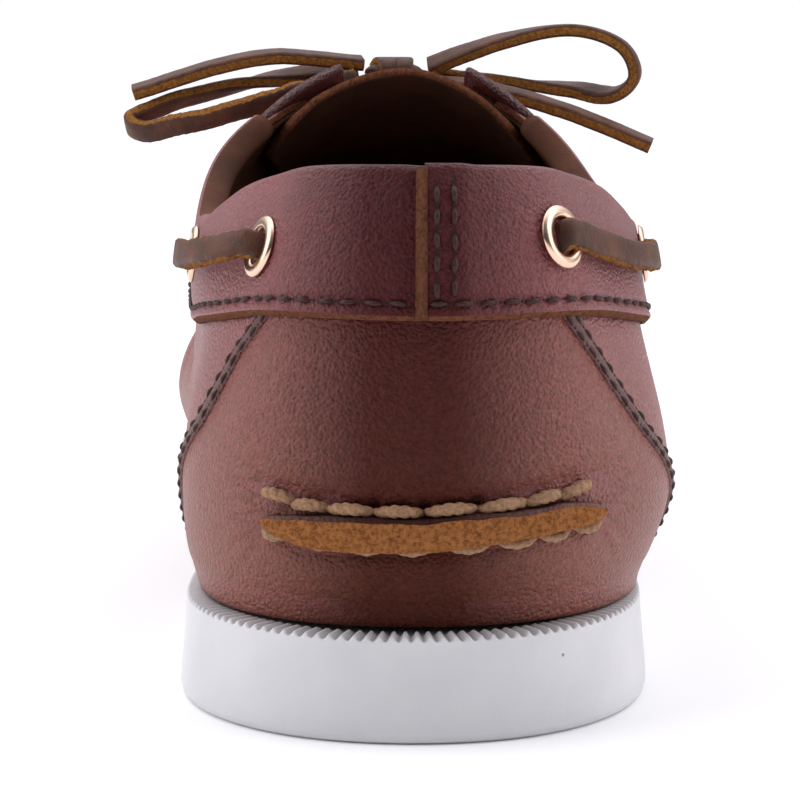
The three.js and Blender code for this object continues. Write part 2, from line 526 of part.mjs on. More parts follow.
add('lace_side_lateral', sideRun('lateral'), 0x5b3a2c, 0.6);
add('lace_bar_upper', throatBar('upper', 5.4), 0x5b3a2c, 0.6);
add('lace_bar_lower', throatBar('lower', 5.4), 0x5b3a2c, 0.6);
add('lace_knot', geometrySolid(knotGeometry), 0x5b3a2c, 0.6);
for (const [name, points] of Object.entries(bow)) add(name, cord(points, 15), 0x5b3a2c, 0.6);

export default group;
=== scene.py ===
# Boat shoe for the right foot, made the way a shoemaker puts it together: stage and camera, laces
# and bow, sole, insole, lining, upper, seams, collar band, tongue, eyestay, eyelets, stitches.
import math
import random

import bmesh
import bpy
import numpy as np
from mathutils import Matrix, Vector


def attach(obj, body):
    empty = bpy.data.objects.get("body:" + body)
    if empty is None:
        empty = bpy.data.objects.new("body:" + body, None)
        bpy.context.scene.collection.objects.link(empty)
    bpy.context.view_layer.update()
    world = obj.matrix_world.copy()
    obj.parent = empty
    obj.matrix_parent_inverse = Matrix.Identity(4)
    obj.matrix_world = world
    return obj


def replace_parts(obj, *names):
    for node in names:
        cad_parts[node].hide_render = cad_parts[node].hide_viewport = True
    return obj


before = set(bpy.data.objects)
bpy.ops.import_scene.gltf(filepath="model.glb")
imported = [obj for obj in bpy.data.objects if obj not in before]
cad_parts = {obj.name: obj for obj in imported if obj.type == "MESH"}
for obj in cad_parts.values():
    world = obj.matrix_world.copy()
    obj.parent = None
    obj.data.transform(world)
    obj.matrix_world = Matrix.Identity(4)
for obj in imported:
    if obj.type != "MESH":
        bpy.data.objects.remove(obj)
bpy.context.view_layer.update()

# ---- Stage, light and camera ------------------------------------------------
# A pale seamless table in soft studio light: brightest overhead, a soft box at each side, little
# light from the heel side, so the heel stays deep in colour and its flanks turn pale.
MM = 0.001
HEEL_SEAT = 36.0            # origin's distance in front of the outsole's back, mm
scene = bpy.context.scene


def linear(code):
    """sRGB hex to a linear colour with alpha."""
    parts = [int(code[i:i + 2], 16) / 255 for i in (1, 3, 5)]
    return (*[c / 12.92 if c <= 0.04045 else ((c + 0.055) / 1.055) ** 2.4 for c in parts], 1.0)


def put(tree, kind, links=None, values=None, stops=(), **settings):
    """Adds a shader node with its settings, its fixed inputs, its colour stops and its links."""
    made = tree.nodes.new("ShaderNode" + kind)
    for key, value in settings.items():
        setattr(made, key, value)
    for key, value in (values or {}).items():
        made.inputs[key].default_value = value
    for k, (spot, color) in enumerate(stops):
        made.color_ramp.elements[k].color, made.color_ramp.elements[k].position = color, spot
    for key, socket in (links or {}).items():
        tree.links.new(socket, made.inputs[key])
    return made


def material(name, roughness, ior=1.5, **fixed):
    """A material with one shader; constant values go straight on its sockets."""
    made = bpy.data.materials.new(name)
    made.use_nodes = True
    tree = made.node_tree
    shader = tree.nodes["Principled BSDF"]
    shader.inputs["Roughness"].default_value = roughness
    if ior:
        shader.inputs["IOR"].default_value = ior
    for key, value in fixed.items():
        shader.inputs[key.replace("_", " ")].default_value = value
    return made, tree, shader


def show(name, mesh, *materials):
    """Puts a mesh in the scene with its materials, smooth shaded, riding on the shoe."""
    made = bpy.data.objects.new(name, mesh)
    scene.collection.objects.link(made)
    for m in materials:
        mesh.materials.append(m)
    mesh.polygons.foreach_set("use_smooth", [True] * len(mesh.polygons))
    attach(made, "root")
    return made


def point_at(made, target):
    made.rotation_mode = "QUATERNION"
    made.rotation_quaternion = (Vector(target) - made.location).to_track_quat("-Z", "Y")


CAMERA_BACK = 333.4         # camera behind the heel, mm
CAMERA_HIGH = 97.0          # camera above the floor, mm
CAMERA_DOWN = 8.01          # pitch, degrees
CAMERA_YAW = 0.27           # turn, degrees
CAMERA_LENS = 107.9         # mm
SENSOR_WIDE = 36            # mm
FLOOR_HALF = 4.0            # m

camera = bpy.data.objects.new("camera", bpy.data.cameras.new("camera"))
scene.collection.objects.link(camera)
camera.data.sensor_width = SENSOR_WIDE
camera.data.lens = CAMERA_LENS
camera.data.clip_start = 0.01
camera.location = (0, (HEEL_SEAT + CAMERA_BACK) * MM, CAMERA_HIGH * MM)
tilt, turn = math.radians(CAMERA_DOWN), math.radians(CAMERA_YAW)
ahead = Vector((math.sin(turn), -math.cos(turn) * math.cos(tilt), -math.sin(tilt)))
point_at(camera, camera.location + ahead)
scene.camera = camera

# matt white paper: no gloss, so the table stays even
paper = material("paper_backdrop", 0.9, Base_Color=linear("#fafafb"))[0]
corners = [(x * FLOOR_HALF, y * FLOOR_HALF, 0) for x, y in ((-1, -1), (1, -1), (1, 1), (-1, 1))]
floor_mesh = bpy.data.meshes.new("floor")
floor_mesh.from_pydata(corners, [], [(0, 1, 2, 3)])
floor_mesh.materials.append(paper)
floor = bpy.data.objects.new("floor", floor_mesh)
scene.collection.objects.link(floor)

world = bpy.data.worlds.new("studio")
scene.world = world
world.use_nodes = True
tree = world.node_tree
# brightest overhead, dim from the heel side, and plain white where the camera sees it directly
aim = put(tree, "SeparateXYZ", {"Vector": put(tree, "TexCoord").outputs["Generated"]})
over = put(tree, "MapRange", {"Value": aim.outputs["Z"]},
           {"From Min": 0.1, "From Max": 0.9, "To Min": 0.30, "To Max": 2.4},
           interpolation_type="SMOOTHSTEP")
dim = put(tree, "MapRange", {"Value": aim.outputs["Y"]},
          {"From Min": -0.25, "From Max": 0.6, "To Min": 1.0, "To Max": 0.10},
          interpolation_type="SMOOTHSTEP")
level = put(tree, "Math", {0: over.outputs["Result"], 1: dim.outputs["Result"]}, operation="MULTIPLY")
seen = put(tree, "LightPath")
strength = put(tree, "Mix", {"Factor": seen.outputs["Is Camera Ray"], 2: level.outputs[0]}, {3: 1.05},
               data_type="FLOAT")
sky = tree.nodes["Background"]
sky.inputs["Color"].default_value = linear("#fbfbff")
tree.links.new(strength.outputs[0], sky.inputs["Strength"])
scene.view_settings.view_transform = "Standard"
scene.view_settings.look = "None"
# where each soft box stands and how wide it is, in metres, then its power in watts
for name, stand, size, watts in (("box_medial", (0.75, 0.10, 0.40), 0.7, 3.4),
                                 ("box_lateral", (-0.75, 0.10, 0.40), 0.7, 2.8)):
    lamp = bpy.data.lights.new(name, "AREA")
    lamp.size, lamp.energy = size, watts
    placed = bpy.data.objects.new(name, lamp)
    placed.location = stand
    scene.collection.objects.link(placed)
    point_at(placed, (0, -0.02, 0.05))

# ---- Bow and free ends ------------------------------------------------------
# One flat lace of brown oiled leather, 4 mm wide, cut from the hide so its narrow sides show the
# tan fibre. It is tied in a bow on the throat: a knot, two loops and two cut ends.
LACE_WIDE, LACE_THICK = 4.0, 2.3
LACE_STEP = 0.45            # along a lace, mm


def mesh_of(name, verts, faces, kinds=None):
    """A mesh from corner points in mm and faces; kinds gives each face's material place."""
    made = bpy.data.meshes.new(name)
    made.from_pydata((np.asarray(verts, float) * MM).tolist(), [], faces)
    if kinds is not None:
        made.polygons.foreach_set("material_index", kinds)
    made.update()
    return made


def smooth_line(points, step):
    """A Catmull-Rom line through points, in mm, cut into even steps."""
    p = np.asarray(points, float)
    p = np.vstack([2 * p[0] - p[1], p, 2 * p[-1] - p[-2]])
    fine = []
    for i in range(1, len(p) - 2):
        a, b, c, d = p[i - 1:i + 3]
        for t in np.linspace(0, 1, 24, endpoint=False):
            fine.append(0.5 * (2 * b + (c - a) * t + (2 * a - 5 * b + 4 * c - d) * t * t
                               + (3 * b - a - 3 * c + d) * t ** 3))
    fine = np.array(fine + [p[-2]])
    run = np.concatenate([[0], np.cumsum(np.linalg.norm(np.diff(fine, axis=0), axis=1))])
    even = np.linspace(0, run[-1], max(4, int(run[-1] / step)) + 1)
    return np.stack([np.interp(even, run, fine[:, k]) for k in range(3)], 1)


def unit(a):
    return a / np.maximum(np.linalg.norm(a, axis=-1, keepdims=True), 1e-9)


def tube_faces(rings, sides, base=0):
    """Quads between the rings of a tube, whose corners start at base."""
    return [(base + i * sides + q, base + i * sides + (q + 1) % sides,
             base + (i + 1) * sides + (q + 1) % sides, base + (i + 1) * sides + q)
            for i in range(rings - 1) for q in range(sides)]


def tube_ends(rings, sides, base=0):
    """The two closing faces of such a tube."""
    last = base + (rings - 1) * sides
    return [tuple(range(base, base + sides))[::-1], tuple(range(last, last + sides))]


def lace_leather():
    """Oiled lace leather: a soft sheen on the grain, fine creases across, worn darker and paler."""
    made, tree, shader = material("oiled_lace_leather", 0.55, 1.5, Specular_IOR_Level=0.28)
    where = put(tree, "TexCoord").outputs["Object"]
    tone = put(tree, "TexNoise", {"Vector": where}, {"Scale": 160, "Detail": 5, "Roughness": 0.6})
    ramp = put(tree, "ValToRGB", {"Fac": tone.outputs["Fac"]},
               stops=((0.3, linear("#38211a")), (0.75, linear("#68402d"))))
    tree.links.new(ramp.outputs["Color"], shader.inputs["Base Color"])
    grain = put(tree, "TexVoronoi", {"Vector": where}, {"Scale": 1500}, feature="DISTANCE_TO_EDGE")
    crease = put(tree, "TexNoise", {"Vector": where}, {"Scale": 900, "Detail": 3})
    height = put(tree, "Math", {0: grain.outputs["Distance"], 1: crease.outputs["Fac"]}, operation="ADD")
    bump = put(tree, "Bump", {"Height": height.outputs[0]}, {"Strength": 0.35, "Distance": 0.0003})
    tree.links.new(bump.outputs["Normal"], shader.inputs["Normal"])
    return made


def cut_leather(name, pale, dark, fibre):
    """Cut edge of leather: dry matt fibre, tan with dark pits, rough enough to catch the light."""
    made, tree, shader = material(name, 0.95, 1.45, Specular_IOR_Level=0.2)
    where = put(tree, "TexCoord").outputs["Object"]
    fuzz = put(tree, "TexNoise", {"Vector": where}, {"Scale": fibre, "Detail": 8, "Roughness": 0.75})
    ramp = put(tree, "ValToRGB", {"Fac": fuzz.outputs["Fac"]},
               stops=((0.36, linear(dark)), (0.58, linear(pale))))
    tree.links.new(ramp.outputs["Color"], shader.inputs["Base Color"])
    bump = put(tree, "Bump", {"Height": fuzz.outputs["Fac"]}, {"Strength": 0.9, "Distance": 0.0006})
    tree.links.new(bump.outputs["Normal"], shader.inputs["Normal"])
    return made


CUT_SIDES = (0, 1, 7, 8)    # faces round the lace's section that are cut, not grain
lace_face = lace_leather()
lace_edge = cut_leather("cut_lace_edge", "#ab7438", "#74471f", 1500)
draw = random.Random(7)


def flat_lace(name, line, side, wide=LACE_WIDE, thick=LACE_THICK, fuzz=0.16):
    """A flat lace along a line; side gives, for each point, the way its flat face looks."""
    n = len(line)
    ahead = unit(np.gradient(line, axis=0))
    face = unit(side - ahead * np.sum(side * ahead, axis=1, keepdims=True))
    across = np.cross(ahead, face)
    # corners of the section: a rounded flat top and bottom, straight cut sides
    w, t = wide / 2, thick / 2
    ring = [(-w, -t * 0.55), (-w, 0), (-w, t * 0.55), (-w * 0.86, t * 0.95), (-w * 0.4, t), (w * 0.4, t),
            (w * 0.86, t * 0.95), (w, t * 0.55), (w, 0), (w, -t * 0.55), (w * 0.86, -t * 0.95), (w * 0.4, -t),
            (-w * 0.4, -t), (-w * 0.86, -t * 0.95)]
    verts = []
    waver = np.convolve([draw.uniform(-1, 1) for _ in range(n + 8)], np.ones(9) / 9, "valid")
    for i in range(n):
        for a, b in ring:
            rough = draw.uniform(-fuzz, fuzz) if abs(a) > w * 0.97 else draw.uniform(-0.02, 0.02)
            verts.append(line[i] + across[i] * (a + rough + 0.5 * waver[i]) + face[i] * (b + rough * 0.4))
    faces = tube_faces(n, len(ring)) + tube_ends(n, len(ring))
    kinds = [1 if j in CUT_SIDES else 0 for j in range(len(ring))] * (n - 1) + [1, 1]
    made = show(name, mesh_of(name, verts, faces, kinds), lace_face, lace_edge)
    return made


def place(x, s, z):
    """A point given sideways, forward of the heel's back, and up, in mm, in the shoe's frame."""
    return (x, HEEL_SEAT - s, z)


# Bends of each stretch of the bow in order, then the way the flat face looks at both ends.
bow = {
    "lace_loop_medial": ([(10.4, 130.4, 94.8), (21, 128, 94.6), (35, 125, 92.3), (47, 122, 88.9),
                          (52.6, 119.4, 85.9), (49, 116.6, 84.4), (38.5, 116, 86.5), (24.5, 118, 90.5),
                          (10.8, 124.4, 93.9)], (0.2, 0.75, 0.6), (0.1, 0.8, -0.6)),
    "lace_loop_lateral": ([(-3.4, 128.4, 96.2), (-17.3, 125, 101.0), (-30, 121.6, 103.0), (-39, 119.8, 100.2),
                           (-41.8, 119.8, 94.6), (-38, 121.6, 91.0), (-30, 124.6, 92.0), (-18, 128.4, 93.0),
                           (-3.4, 131.6, 94.0)], (0, 0.25, 1), (0, 0.3, -1)),
    "lace_end_medial": ([(9.4, 127.4, 96.9), (18, 125, 97.7), (26, 123, 98.1), (36, 121.6, 96.4),
                         (52.3, 121, 91.4)], (0, 0.3, 1), (0.2, 0.35, 1)),
    "lace_end_lateral": ([(-4.0, 124.8, 93.2), (-13, 119.6, 92.3), (-22.9, 116.6, 89.9), (-33.7, 115, 86.2),
                          (-44.4, 114, 81.7)], (0, 0.3, 1), (-0.3, 0.3, 1)),
}
for name, (bends, first, last_way) in bow.items():
    line = smooth_line([place(*p) for p in bends], LACE_STEP)
    loop = "loop" in name
    blend = np.linspace(0, 1, len(line))[:, None]
    if loop:
        # round a loop the flat face turns with the bend, always looking out of it
        middle = line.mean(axis=0)
        outwards = unit(line - middle) * (1, 0.25, 1)
        side = outwards + np.array((0, 0.12, 0))
    else:
        side = np.array(first) * (1 - blend) + np.array(last_way) * blend
    made = flat_lace(name, line, side)
    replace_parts(made, name)

# The knot: the same lace passed twice round itself, drawn as three crossing wraps.
KNOT = np.array(place(3.4, 129, 95.2))
WRAP_APART, WRAP_HIGH = 1.9, 2.1         # between wraps, half the height of one, mm
WRAP_WIDE, WRAP_THICK = 3.4, 1.6         # the lace as it is pulled tight
CORE_HALF = np.array((5.6, 3.3, 2.0))    # half sizes of the knot's filled middle
CORE_RINGS, CORE_SIDES = 13, 24
wraps = []
# for each wrap, how far it slants sideways and how deep it is from front to back
for k, (slant, deep) in enumerate(((0.0, 3.2), (0.9, 2.9), (-0.8, 3.0))):
    centre = KNOT + np.array(((k - 1) * WRAP_APART, 0, 0))
    a = np.linspace(-0.15, 2 * math.pi - 0.15, 40)
    out = np.stack([1.5 * math.sin(slant) * np.cos(a), deep * np.cos(a), WRAP_HIGH * np.sin(a)], 1)
    wraps.append(flat_lace(f"lace_knot_wrap_{k + 1}", centre + out, out, WRAP_WIDE, WRAP_THICK))
a = np.linspace(-math.pi / 2, math.pi / 2, CORE_RINGS)[:, None]
b = np.linspace(0, 2 * math.pi, CORE_SIDES, endpoint=False)[None, :]
core = KNOT + CORE_HALF * np.stack([np.cos(a) * np.cos(b), np.cos(a) * np.sin(b), np.sin(a) + 0 * b], -1)
core_mesh = mesh_of("lace_knot_core", core.reshape(-1, 3), tube_faces(CORE_RINGS, CORE_SIDES))
wraps.append(show("lace_knot_core", core_mesh, lace_face))
for made in wraps:
    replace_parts(made, "lace_knot")

# ---- Outsole ----------------------------------------------------------------
# One moulding of pale, matt, slightly cool rubber. Its rim stands out round the upper as a ledge
# with fine ribs across it; the wall flares a little to the floor; toe spring and arch below.
# Its outline, and the upper's, come from sections set round a last, from heel back to toe tip.
SECTIONS = (
    # at, turn, mid, lean, tuck, bulge, side, top (medial, lateral), bulge z, side z, top z, crown z
    (36, 0, 0, 2, 29.5, 29.5, 33.5, 33.5, 31.6, 31.6, 27.2, 27.2, 31.5, 57, 82, 104),
    (36, 34, 0, 2, 30.6, 31.0, 35.0, 35.0, 31.8, 31.8, 25.2, 25.2, 31.5, 56, 81, 104),
    (36.5, 64, 0, 2, 32.2, 33.4, 36.8, 37.4, 31.2, 31.2, 23.4, 23.0, 31.5, 55, 78, 104),
    (42, 87, 0, 2, 33.4, 35.6, 37.8, 38.6, 34.4, 34.4, 28.0, 27.6, 31.5, 54, 75, 104),
    (64, 90, -0.2, 1.4, 33.6, 35.6, 38.2, 38.8, 36.6, 35.6, 34.8, 33.4, 30, 52, 71, 105),
    (100, 90, 1.6, 0.4, 32.8, 37.6, 37.4, 40.0, 37.2, 36.2, 31.2, 28.2, 28, 56, 81, 100.5),
    (140, 90, 1.0, 0, 35.6, 41.6, 40.4, 45.4, 38.0, 41.6, 26.0, 27.4, 25.5, 51, 71.5, 82),
    (178, 90, 0.4, 0, 43.0, 47.4, 48.0, 50.4, 43.0, 45.0, 26.5, 27.5, 24, 42, 57, 63.5),
    (206, 91, 1.4, 0, 47.2, 47.2, 51.4, 50.8, 46.2, 45.2, 27.0, 27.0, 24, 38.5, 50.5, 55.5),
    (225, 108, 2.8, 0, 45.5, 42.5, 49.2, 46.0, 43.0, 40.0, 26.0, 25.0, 25, 37.2, 47, 51.5),
    (230, 134, 3.2, 0, 47.6, 44.0, 50.6, 47.0, 44.6, 41.0, 27.0, 25.4, 26.5, 37.5, 46, 50.5),
    (230, 158, 3.2, 0, 49.8, 47.6, 52.4, 50.2, 46.0, 43.8, 28.0, 26.8, 28.5, 38, 45.6, 50.5),
    (230, 180, 3.2, 0, 50.4, 50.4, 52.8, 52.8, 46.2, 46.2, 28.0, 28.0, 29.5, 38.2, 45.4, 50.5),
)
# the outsole's reach at each of those sections, medial and lateral
SOLE_REACH = ((36, 36), (36.5, 36.7), (36.7, 37.0), (36.4, 37.2), (36.0, 37.2), (32.4, 41.6), (37.0, 46.2),
              (47.0, 51.8), (52.0, 52.4), (51, 48.8), (54, 50.6), (57.6, 55.6), (60, 60))
# forward of the heel's back, height of the sole's underside, height of its rim
SOLE_SIDE = ((-5, 0, 15.6), (46, 0, 15.6), (76, 0.7, 14.8), (106, 1.8, 13.6), (136, 1.2, 12.2),
             (164, 0, 11.5), (206, 0, 11.3), (240, 1.7, 12.9), (268, 4.7, 16), (295, 8.8, 20))
# forward of the heel's back, height of the collar's top edge, then of the collar band's foot
TOPLINE = ((-20, 82.7), (8, 82.6), (22, 81.5), (38, 78.4), (50, 74.8), (62, 71.6), (76, 71.6), (90, 76.4),
           (102, 84), (110, 92), (117, 104))
BAND_FOOT = ((-20, 60.8), (8, 60.7), (36, 57.2), (60, 54.6), (80, 56.4), (100, 64), (120, 73))
LAST = len(SECTIONS) - 1
GAP, LEATHER = 0.3, 2.0


def slopes(x, y, monotone):
    """Slope of a smooth curve at each of its knots; monotone keeps it from swinging past them."""
    h = np.diff(x)
    d = np.diff(y) / h
    m = np.empty(len(x))
    m[0], m[-1] = d[0], d[-1]
    m[1:-1] = (d[:-1] * h[1:] + d[1:] * h[:-1]) / (h[:-1] + h[1:])
    if monotone:
        limit = 3 * np.minimum(np.abs(d[:-1]), np.abs(d[1:]))
        m[1:-1] = np.where(d[:-1] * d[1:] <= 0, 0, np.sign(m[1:-1]) * np.minimum(np.abs(m[1:-1]), limit))
    return m


def curve_at(x, y, m, q):
    """Height at q of the cubic curve through knots x, y with slopes m."""
    i = np.clip(np.searchsorted(x, q, "right") - 1, 0, len(x) - 2)
    h = x[i + 1] - x[i]
    u = np.clip((q - x[i]) / h, 0, 1)
    return (y[i] * (2 * u ** 3 - 3 * u ** 2 + 1) + m[i] * h * (u ** 3 - 2 * u ** 2 + u)
            + y[i + 1] * (3 * u ** 2 - 2 * u ** 3) + m[i + 1] * h * (u ** 3 - u ** 2))


def profile(rows, column):
    """One column of a table as a function of its first column."""
    rows = np.array(rows, float)
    m = slopes(rows[:, 0], rows[:, column], True)
    return lambda s: curve_at(rows[:, 0], rows[:, column], m, np.asarray(s, float))


low_z, rim_z = profile(SOLE_SIDE, 1), profile(SOLE_SIDE, 2)
top_z, foot_z = profile(TOPLINE, 1), profile(BAND_FOOT, 1)
table = np.array(SECTIONS, float)
steps = np.diff(table[:, 0]) + np.radians(np.diff(table[:, 1])) * 0.5 * (table[:-1, 6] + table[1:, 6])
KNOTS = np.concatenate([[0], np.cumsum(steps)])
wide_knots = np.concatenate([[-KNOTS[1]], KNOTS, [2 * KNOTS[-1] - KNOTS[-2]]])


def column_of(medial, lateral, monotone=False, odd=False):
    """A column of the table as a function of w, the place round the shoe: 0 heel back, 0 to 12 the
    medial side, 12 toe tip, 12 to 24 back along the lateral side."""
    lines = []
    for own, other in ((medial, lateral), (lateral, medial)):
        before, after = (-other[1], 360 - other[-2]) if odd else (other[1], other[-2])
        y = np.concatenate([[before], own, [after]])
        lines.append((y, slopes(wide_knots, y, monotone)))

    def at_w(w):
        w = np.mod(w, 2 * LAST)
        q = np.where(w > LAST, 2 * LAST - w, w)
        i = np.minimum(q.astype(int), LAST - 1)
        t = KNOTS[i] + (q - i) * (KNOTS[i + 1] - KNOTS[i])
        return np.where(w > LAST, curve_at(wide_knots, *lines[1], t), curve_at(wide_knots, *lines[0], t))
    return at_w


# name, medial and lateral column of the table, and whether it runs without swinging
COLUMN = {name: column_of(table[:, medial], table[:, lateral], monotone, name == "turn")
          for name, medial, lateral, monotone in (
              ("at", 0, 0, True), ("turn", 1, 1, True), ("mid", 2, 2, True), ("lean", 3, 3, True),
              ("tuck", 4, 5, False), ("bulge", 6, 7, False), ("side", 8, 9, False), ("top", 10, 11, False),
              ("bulge_z", 12, 12, False), ("side_z", 13, 13, False), ("top_z", 14, 14, False),
              ("crown_z", 15, 15, True))}
COLUMN["sole"] = column_of(*np.array(SOLE_REACH).T)


def facing_of(w):
    """The way a section looks, in plan."""
    turned = np.radians(COLUMN["turn"](w))
    w = np.mod(w, 2 * LAST)
    return np.sin(turned) * np.where(w > LAST, -1, 1), np.cos(turned)


def sole_point(w, reach_in, share=1.0):
    """Plan place on the sole, a distance inside its outline or a share of the way out to it."""
    sx, sy = facing_of(w)
    r = (COLUMN["sole"](w) - reach_in) * share
    return COLUMN["mid"](w) + r * sx, HEEL_SEAT - COLUMN["at"](w) + r * sy


def around(step, start=0.0, stop=2.0 * LAST):
    """Places w about evenly spaced in mm along the outline."""
    fine = np.linspace(start, stop, 4001)
    q = np.mod(fine, 2 * LAST)
    q = np.where(q > LAST, 2 * LAST - q, q)
    run = np.interp(q, np.arange(LAST + 1), KNOTS)
    run = np.concatenate([[0], np.cumsum(np.abs(np.diff(run)))])
    return np.interp(np.linspace(0, run[-1], max(2, int(run[-1] / step)) + 1), run, fine)


def grid_faces(n, m, wrap=False):
    """Quads of an n by m grid of points, row by row; wrap joins the last row to the first."""
    i = np.arange(n if wrap else n - 1)[:, None]
    j = np.arange(m - 1)[None, :]
    a, b = i * m + j, ((i + 1) % n) * m + j
    return np.stack([a, b, b + 1, a + 1], -1).reshape(-1, 4)


def grid_mesh(name, points, wrap=False):
    """A mesh from an n by m by 3 grid in mm."""
    n, m = points.shape[:2]
    return mesh_of(name, points.reshape(-1, 3), grid_faces(n, m, wrap).tolist())


def pale_rubber():
    """Moulded rubber: matt, even, faintly cool grey-white, with soft clouding and a few specks."""
    made, tree, shader = material("pale_moulded_rubber", 0.62, 1.52, Specular_IOR_Level=0.35)
    where = put(tree, "TexCoord").outputs["Object"]
    cloud = put(tree, "TexNoise", {"Vector": where}, {"Scale": 45, "Detail": 4})
    ramp = put(tree, "ValToRGB", {"Fac": cloud.outputs["Fac"]},
               stops=((0.35, linear("#cfced2")), (0.7, linear("#dcdbde"))))
    speck = put(tree, "TexVoronoi", {"Vector": where}, {"Scale": 130, "Randomness": 1.0})
    dot = put(tree, "Math", {0: speck.outputs["Distance"]}, {1: 0.045}, operation="LESS_THAN")
    dirt = put(tree, "Mix", {"Factor": dot.outputs[0], "A": ramp.outputs["Color"]}, {7: linear("#8f8d92")},
               data_type="RGBA")
    tree.links.new(dirt.outputs[2], shader.inputs["Base Color"])
    skin = put(tree, "TexNoise", {"Vector": where}, {"Scale": 2600, "Detail": 3})
    bump = put(tree, "Bump", {"Height": skin.outputs["Fac"]}, {"Strength": 0.12, "Distance": 0.0002})
    tree.links.new(bump.outputs["Normal"], shader.inputs["Normal"])
    return made


rubber = pale_rubber()
RIB_PITCH, RIB_HIGH = 1.8, 0.75          # ribs across the ledge, mm
RIB_STEPS = 5                            # points along the outline for one rib
BORDER, RECESS = 4.5, 1.7                # plain border round the tread, depth of the tread's bed
w = around(RIB_PITCH / RIB_STEPS)[:-1]
places = len(w) // RIB_STEPS * RIB_STEPS
w = around(2 * KNOTS[-1] / places)[:places]
wave = 0.5 - 0.5 * np.cos(2 * np.pi * np.arange(len(w)) / RIB_STEPS)
wave = np.clip(wave * 1.5 - 0.25, 0, 1)
rows = []
# inside the outline, share, height above floor side, height against rim side, how much rib
for inside, share, from_low, from_rim, rib in (
        (BORDER, 0.02, RECESS, None, 0), (BORDER, 0.7, RECESS, None, 0), (BORDER, 1, RECESS, None, 0),
        (BORDER, 1, 0.0, None, 0), (1.5, 1, 0.0, None, 0), (0.7, 1, 0.15, None, 0), (0.25, 1, 0.6, None, 0),
        (0, 1, 1.5, None, 0), (0.15, 1, 4.0, None, 0), (0.9, 1, None, -3.5, 0), (1.05, 1, None, -1.3, 0),
        (1.1, 1, None, -RIB_HIGH, 0), (1.15, 1, None, -RIB_HIGH, 0.75), (1.55, 1, None, -RIB_HIGH, 1),
        (3.2, 1, None, -RIB_HIGH, 1), (5.0, 1, None, -RIB_HIGH, 1), (6.6, 1, None, -RIB_HIGH - 0.3, 0.3),
        (7.5, 1, None, -RIB_HIGH - 0.4, 0), (7.5, 0.5, None, -RIB_HIGH - 0.4, 0),
        (7.5, 0.02, None, -RIB_HIGH - 0.4, 0)):
    x, y = sole_point(w, inside, share)
    s = HEEL_SEAT - y
    z = low_z(s) + from_low if from_rim is None else rim_z(s) + from_rim
    rows.append(np.stack([x, y, z + wave * rib * RIB_HIGH], -1))
rows = np.stack(rows, 1)
outsole = show("outsole", grid_mesh("outsole", rows, wrap=True), rubber)
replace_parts(outsole, "outsole")

# ---- Tread ------------------------------------------------------------------
# The gripping field of the same rubber inside the border: rows of shallow wavy cuts across the
# sole, the usual tread of a deck shoe. It meets the floor flat.
WAVE_PITCH, WAVE_LONG, WAVE_SWING = 5.0, 15.0, 2.0      # between cuts, along one wave, its swing, mm
CUT_FROM, CUT_SLOPE, CUT_DEEP = 0.72, 0.16, 1.2         # shares of half the pitch, then mm
w = around(1.1)
share = np.linspace(0.01, 1, 58)
x, y = sole_point(w[:-1, None], BORDER + 0.25, share[None, :])
s = HEEL_SEAT - y
ripple = s + WAVE_SWING * np.sin(2 * np.pi * x / WAVE_LONG)
cut = np.abs((ripple / WAVE_PITCH) % 1 - 0.5) * 2
depth = np.clip((cut - CUT_FROM) / CUT_SLOPE, 0, 1)
z = low_z(s) + 0.02 + depth * CUT_DEEP * np.clip((1 - share[None, :]) * 30, 0, 1)
lower = np.stack([x, y, z], -1)
upper_side = np.stack([x, y, low_z(s) + RECESS - 0.05], -1)
tread_points = np.concatenate([lower, upper_side[:, ::-1]], 1)
tread = show("outsole_tread", grid_mesh("outsole_tread", tread_points, wrap=True), rubber)

# ---- Insole -----------------------------------------------------------------
# A thin board covered in smooth brown leather, seen down through the collar: dished a little in
# the middle and rolled down along its edge. It lies loose on the sole.
INSOLE_HIGH, INSOLE_CLEAR = 3.6, 0.8        # its height, its gap to the upper's wall, mm


def lining_leather(name, dark, pale, rough, grain):
    """Lining leather: matt brown, soft nap, with gentle clouding and no gloss."""
    made, tree, shader = material(name, rough, 1.45, Specular_IOR_Level=0.25)
    where = put(tree, "TexCoord").outputs["Object"]
    cloud = put(tree, "TexNoise", {"Vector": where}, {"Scale": 60, "Detail": 6, "Roughness": 0.65})
    ramp = put(tree, "ValToRGB", {"Fac": cloud.outputs["Fac"]},
               stops=((0.3, linear(dark)), (0.72, linear(pale))))
    tree.links.new(ramp.outputs["Color"], shader.inputs["Base Color"])
    nap = put(tree, "TexNoise", {"Vector": where}, {"Scale": grain, "Detail": 6, "Roughness": 0.7})
    bump = put(tree, "Bump", {"Height": nap.outputs["Fac"]}, {"Strength": 0.4, "Distance": 0.0004})
    tree.links.new(bump.outputs["Normal"], shader.inputs["Normal"])
    return made


sock = lining_leather("insole_sock_leather", "#3d2618", "#5c3b28", 0.6, 1400)
lining_skin = lining_leather("brown_lining_leather", "#3c2115", "#613826", 0.8, 1100)
w = around(2.0)[:-1]
share = np.concatenate([np.linspace(0.02, 0.9, 26), [0.95, 0.98, 1.0]])
reach = COLUMN["tuck"](w)[:, None] - LEATHER - INSOLE_CLEAR
sx, sy = facing_of(w[:, None])
x = COLUMN["mid"](w)[:, None] + reach * share * sx
y = HEEL_SEAT - COLUMN["at"](w)[:, None] + reach * share * sy
base = rim_z(HEEL_SEAT - y) + GAP
dish = np.where(share > 0.93, -(share - 0.93) / 0.07 * 0.9, 0.5 * share ** 4 - 0.5)
top = np.stack([x, y, base + INSOLE_HIGH + dish], -1)
under = np.stack([x, y, base], -1)[:, ::-1]
insole = show("insole", grid_mesh("insole", np.concatenate([top, under], 1), wrap=True), sock)
